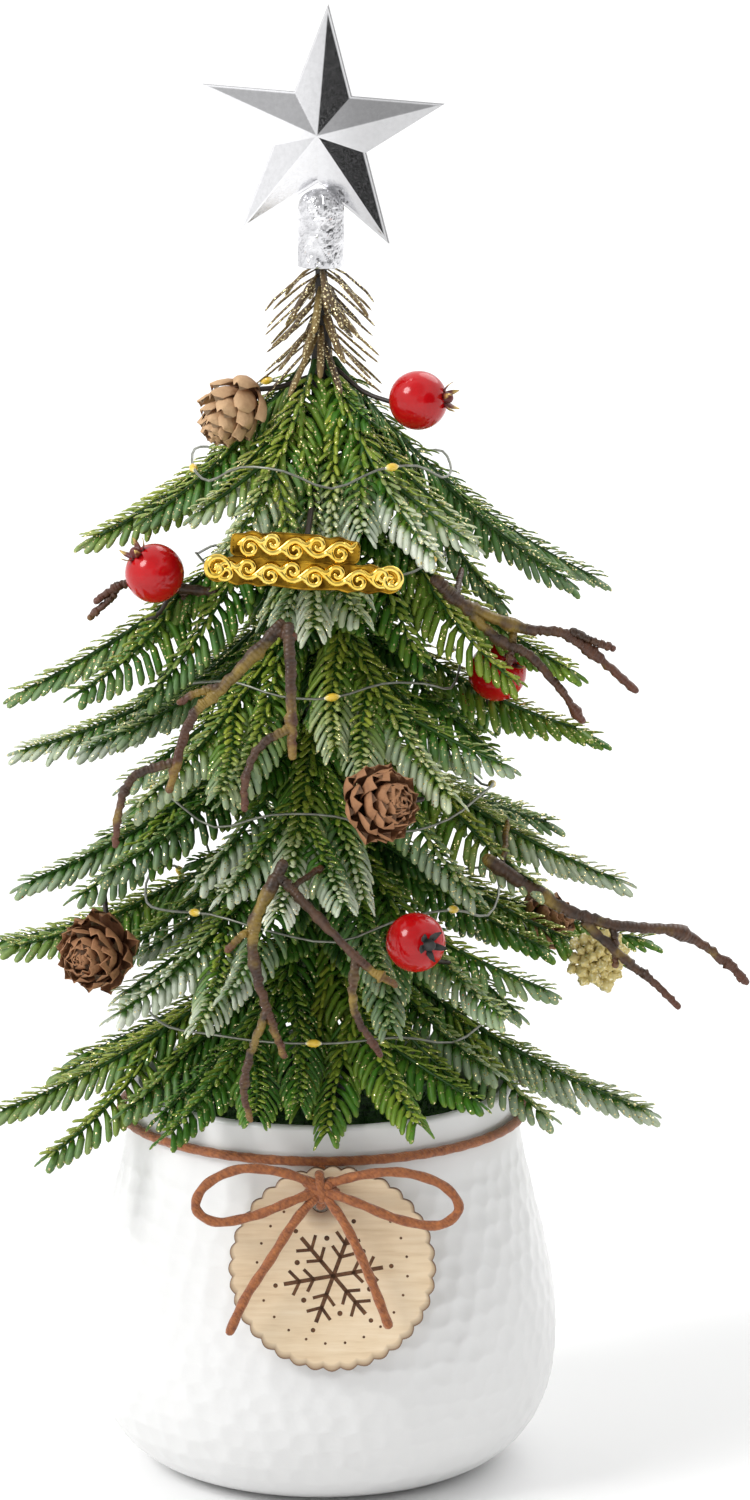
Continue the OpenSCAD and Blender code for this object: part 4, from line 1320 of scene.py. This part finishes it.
def make_plaque():
    """Gold scrollwork in two rows on a thin backing: generic curls and leaves."""
    bag = Bag()
    tilt = np.array(turned(PLAQUE_ROLL, "Y") @ turned(PLAQUE_LEAN, "X"))

    def add(points, faces):
        bag.add(np.asarray(points) @ tilt.T + PLAQUE_AT, faces)

    def stroke(line, thick):
        line = np.array(line) * MM
        swell = 0.55 + 0.45 * np.sin(np.pi * np.linspace(0.06, 0.94, len(line)))
        add(*tube_mesh(line, thick * swell * MM, 12))

    for row_z, shift, half, waves in ((4.4, -3.0, 16.5, 2.5), (-3.4, 0.0, 26.0, 4.0)):
        x = np.linspace(-1, 1, 61)
        vine = np.stack([shift + half * x, np.full(61, -0.7),
                         row_z + 2.0 * np.sin(np.pi * waves * (x + 1))], 1)
        stroke(vine, 1.05)
        count = int(2 * waves)
        for n in range(count):
            sign = 1 if n % 2 else -1
            middle = shift + half * (-1 + 2 * (n + 0.5) / count)
            stroke(spiral((middle, row_z + sign * 0.9), 2.9, 1.2, -90 * sign, -sign) + (0, -0.9, 0), 0.85)
            leaf = [(middle + 1.2, -0.8, row_z - sign * 2.2), (middle + 3.0, -1.2, row_z - sign * 1.0),
                    (middle + 4.4, -0.8, row_z - sign * 2.4)]
            stroke(curve_through(leaf, 6), 0.8)
    for side in (-1, 1):
        stroke(spiral((side * 25.5, -3.2), 4.0, 1.3, 90 + 90 * side, -side) + (0, -0.8, 0), 1.1)
    strokes = len(bag.faces)
    for shift, half, high_z, low_z, lobes in ((-3.0, 19.0, 8.2, 0.0, 6), (0.0, 29.0, 0.8, -7.6, 9)):
        turn = np.linspace(0, 2 * np.pi, 120, endpoint=False)
        middle, tall = (high_z + low_z) / 2, (high_z - low_z) / 2
        wide = half * np.sign(np.cos(turn)) * np.abs(np.cos(turn)) ** 0.35
        rise = tall * np.sign(np.sin(turn)) * np.abs(np.sin(turn)) ** 0.45
        rise *= 1 + 0.09 * np.cos(lobes * np.pi * wide / half)
        outline = np.stack([shift + wide, rise + middle], 1)
        rows = ((0.86, -0.4), (0.97, -0.7), (1.0, -0.2), (1.0, 0.9), (0.96, 1.2))
        points = []
        for scale, y in rows:
            inset = (1 - scale) * tall * np.stack([np.cos(turn), np.sin(turn)], 1) * 1.4
            points += [((x - i) * MM, y * MM, (z - k) * MM) for (x, z), (i, k) in zip(outline, inset)]
        n = len(turn)
        ends = [tuple(range(n)), tuple(range(len(rows) * n - 1, (len(rows) - 1) * n - 1, -1))]
        add(points, ring_quads(len(rows), n) + ends)
    plaque = bag.make("plaque_scrolls", [GOLD, GOLD_FIELD])
    index = np.zeros(len(bag.faces), np.int32)
    index[strokes:] = 1
    plaque.data.polygons.foreach_set("material_index", index)
    piece(flip_if_inside_out(plaque), "root", "gold_bright", "gold_plaque")
    start, end = PLAQUE_AT + np.array([0, 2, 2]) * MM, np.array([-0.5, -3.4, 322]) * MM
    wire_stem("plaque_pick", "root", [start, (start + end) / 2 + np.array([0, 2, -3]) * MM, end], 0.9 * MM)


make_flower()
make_plaque()


# ---------------------------------------------------------------- twigs
TWIGS = {
    "twig_upper_right": ("branch_2c", [
        ([[34, -38, 283], [42, -36, 275.5], [59, -34, 268], [71, -32, 266], [80, -30, 260],
          [94, -28, 247.5]], 1.9, 1.2),
        ([[43, -36, 274], [53, -36, 264.5], [62, -34, 259.5], [71, -32, 249], [78, -31, 239]], 1.6, 1.1),
        ([[75, -31, 266], [81, -30, 263], [87, -29, 260.5]], 1.3, 1.1),
        ([[57.5, -34, 268], [57, -34.5, 263], [56, -35, 257.5]], 1.2, 1.0),
        ([[40, -36.5, 277.5], [42, -17, 282]], 0.9, 0.9)]),
    "twig_lower_right": ("branch_4c", [
        ([[50, -38, 198], [71.5, -42, 184.5], [88.5, -40, 178], [107.5, -36, 175], [121.5, -32, 165],
          [128, -30, 158]],
         2.0, 1.1),
        ([[79, -42, 179.5], [92.5, -42, 166.5], [98.5, -41, 162], [107, -40, 153]], 1.5, 1.0),
        ([[87.5, -40, 177.5], [88, -41, 172], [88, -42, 166.5]], 1.2, 1.0),
        ([[54, -39, 195.5], [56, -19, 205]], 0.9, 0.9)]),
    "twigs_front": ("branch_3b", [
        ([[-11.5, -70, 276], [-27.5, -74, 259], [-38, -76, 248.5], [-44, -78, 228.5]], 1.9, 1.2),
        ([[-43, -77, 236.5], [-54, -77, 232.5], [-58.5, -77, 223.5], [-60, -77, 211.5]], 1.4, 1.0),
        ([[-28.5, -74, 258.5], [-35, -74.5, 257], [-41, -75, 254]], 1.3, 1.1),
        ([[-9, -72, 275.5], [-8.5, -76, 258], [-8, -78, 238.5]], 1.9, 1.3),
        ([[-9, -77, 246.5], [-17, -78, 242], [-21.5, -79, 233], [-22, -79, 223]], 1.4, 1.0),
        ([[-13, -70.5, 274.5], [-8, -72.5, 273]], 1.6, 1.6),
        ([[-42.5, -77.3, 233], [-43, -58, 230]], 0.9, 0.9)]),
    "twigs_low": ("branch_4b", [
        ([[-11, -80, 206.5], [-19, -84, 189.5], [-18.5, -86, 174.5], [-14.5, -87, 161.5],
          [-10.5, -87, 150.5]], 1.8, 1.1),
        ([[-15.5, -87, 164], [-20.5, -87, 150.5], [-22.5, -87, 140], [-20.5, -87, 131]], 1.3, 1.0),
        ([[-12, -81, 203], [-6, -82.5, 197], [11.5, -87, 179.5], [22, -88, 172]], 1.6, 1.0),
        ([[10.5, -86.5, 181], [9.5, -88, 167.5], [13, -88, 158.5], [17.5, -88, 151]], 1.3, 1.0),
        ([[-18.5, -84, 189], [-23, -84.5, 186], [-27, -85, 182]], 1.2, 1.0),
        ([[-9, -82, 199.5], [0, -66, 202]], 0.9, 0.9)]),
}
# Twigs that the CAD leaves out
LOOSE_TWIGS = {
    "twig_far_left": ("branch_2a", [
        ([[-32, -14, 274.5], [-51.5, -12, 276.5], [-59, -12, 277], [-67.5, -12, 271.5]], 1.6, 1.1),
        ([[-61, -12, 276.5], [-63.5, -12, 272], [-69.5, -12, 266.5]], 1.2, 1.0),
        ([[-41, -12, 275.5], [-41, -12, 272], [-40.5, -12, 269.5]], 1.2, 1.0)]),
}


def make_twig(name, body, limbs, nodes):
    """Bent plastic stems with bark rings, knots and side stubs."""
    rng = np.random.default_rng(SEED + sum(map(ord, name)))
    bag = Bag()
    along, run = [], []
    for points, thick, thin in limbs:
        line = curve_through(np.array(points) * MM, 12)
        wobble = rng.normal(0, 0.16, line.shape) * MM
        wobble[[0, -1]] = 0
        line = line + wobble
        t = np.linspace(0, 1, len(line))
        radii = (thick + (thin - thick) * t) * MM
        radii *= 1 + 0.10 * np.sin(t * line_length(line) / MM * 2.4) + rng.normal(0, 0.05, len(line))
        for _ in range(max(1, int(line_length(line) / (16 * MM)))):
            radii *= 1 + 0.35 * np.exp(-((t - rng.uniform(0.1, 0.95)) / 0.03) ** 2)
        lean = rng.uniform(0, 6.28)
        count = bag.add(*tube_mesh(line, radii, 10, shape=lambda a,
                                   u: 1 + 0.10 * np.cos(3 * a + lean + 9 * u)))
        along += list(np.repeat(np.linspace(0, 1, count // 10), 10))
        run += list(np.repeat(np.linspace(0, line_length(line), count // 10), 10))
    twig = flip_if_inside_out(bag.make(name + "_bark", [TWIG]))
    attribute(twig, "along", np.array(along) ** 3)
    attribute(twig, "run", run)
    piece(twig, body, "twig_brown", *nodes)


for twig_name, (twig_body, twig_limbs) in {**TWIGS, **LOOSE_TWIGS}.items():
    make_twig(twig_name, twig_body, twig_limbs, [twig_name] if twig_name in TWIGS else [])


# ---------------------------------------------------------------- tag
TAG_LEAN = 7.0
TAG_ROLL = 9.7
TAG_HOLE = np.array([0, -68.4, 100]) * MM
TAG_HOLE_UP = 20 * MM
TAG_T = 2.5 * MM
TAG_HOLE_R = 2.75 * MM
TAG_SCALLOPS = 36
MARK_DEPTH = 0.3 * MM


def tag_turn():
    return np.array(turned(-TAG_LEAN, "X") @ turned(-TAG_ROLL, "Y") @ turned(90, "X"))


def make_tag():
    """Scalloped plywood disc with a hole, burnt at the edges."""
    radius = 31 * MM
    count = TAG_SCALLOPS * 6
    angles = 2 * np.pi * np.arange(count) / count
    edge = radius - 1.1 * MM * (1 - np.abs(np.cos(angles * TAG_SCALLOPS / 2)))
    outline = np.stack([edge * np.sin(angles), edge * np.cos(angles)], 1)
    hole_at = np.array([0, TAG_HOLE_UP])
    hole = hole_at + TAG_HOLE_R * np.stack([np.sin(angles), np.cos(angles)], 1)
    shares = np.array([0.0, 0.12, 0.35, 0.6, 0.85, 0.95, 0.985, 1.0])
    points, burnt = [], []
    for layer in (TAG_T / 2, -TAG_T / 2):
        for s in shares:
            inset = layer * (0.92 if s in (0.0, 1.0) else 1.0)
            for p, q in zip(hole, outline):
                xy = p + (q - p) * s
                points.append((xy[0], xy[1] - TAG_HOLE_UP, inset))
                burnt.append(1.0 if s == 1.0 else 0.55 if s == 0.985 else 0.8 if s == 0.0 else 0.0)
    per = len(shares)
    rear = per * count
    faces = ring_quads(per, count)
    faces += [tuple(rear + q for q in quad[::-1]) for quad in faces]
    for inner in (0, (per - 1) * count):
        faces += [(inner + j, inner + k, rear + inner + k, rear + inner + j)
                  for j, k in ((j, (j + 1) % count) for j in range(count))]
    turn = tag_turn()
    tag = mesh_object("tag_plywood", np.array(points) @ turn.T + TAG_HOLE, faces, [PLYWOOD], False)
    attribute(tag, "burnt", burnt)
    piece(flip_if_inside_out(tag), "tag", "tag_wood", "wooden_tag")

    marks = Bag()
    centre = np.array([0, -TAG_HOLE_UP - 2 * MM])
    face_z = TAG_T / 2 + 0.02 * MM

    def bar(a, b, width):
        a, b = np.array(a) * MM + centre, np.array(b) * MM + centre
        d = unit(b - a)
        w = np.array([-d[1], d[0]]) * width / 2 * MM
        flat = [a + w - d * width * 0.3 * MM, a - w - d * width * 0.3 * MM, b - w, b + w]
        solid = [(x, y, z) for z in (face_z - MARK_DEPTH, face_z) for x, y in flat]
        marks.add(np.array(solid) @ turn.T + TAG_HOLE,
                  [(3, 2, 1, 0), (4, 5, 6, 7), (0, 1, 5, 4), (1, 2, 6, 5), (2, 3, 7, 6), (3, 0, 4, 7)])

    def dot(x, y, r):
        ring = np.radians(np.arange(0, 360, 24))
        m = len(ring)
        solid = [(*(centre + (np.array([x, y]) + outward(a)[:2] * r) * MM), z)
                 for z in (face_z, face_z - MARK_DEPTH) for a in ring]
        marks.add(np.array(solid) @ turn.T + TAG_HOLE,
                  [tuple(range(m)), tuple(range(2 * m - 1, m - 1, -1))] + ring_quads(2, m))

    for i in range(6):
        a = math.radians(60 * i)
        arm = outward(a)[:2]
        bar((0, 0), arm * 15, 1.25)
        for where, reach in ((6.0, 4.2), (10.2, 4.6)):
            for side in (-1, 1):
                twig = outward(a + side * math.radians(55))[:2]
                bar(arm * where, arm * where + twig * reach, 1.0)
        dot(*outward(a + math.radians(30))[:2] * 11.5, 0.8)
        dot(*arm * 17.5, 0.7)
    for degrees in range(0, 360, 15):
        if not 60 < degrees < 120:
            x, y, _ = outward(math.radians(degrees)) * 22.5
            dot(x, y + 2, 0.42)
    piece(flip_if_inside_out(marks.make("tag_snowflake", [BURNT], False)), "tag", "tag_wood")


make_tag()


# ---------------------------------------------------------------- CAD parts that stay
def paint(node, material):
    data = frame["nodes"][node].data
    data.materials.clear()
    data.materials.append(material)


for node_name, node_material in (("foam_block", FOAM), ("trunk", TRUNK_BLACK), ("trunk_socket", SOCKET_GREY),
                                 ("battery_box", BOX_GREEN), ("battery_cover", BOX_GREEN),
                                 ("coin_cells", CELL_STEEL),
                                 ("switch_knob", SWITCH_BLACK)):
    paint(node_name, node_material)
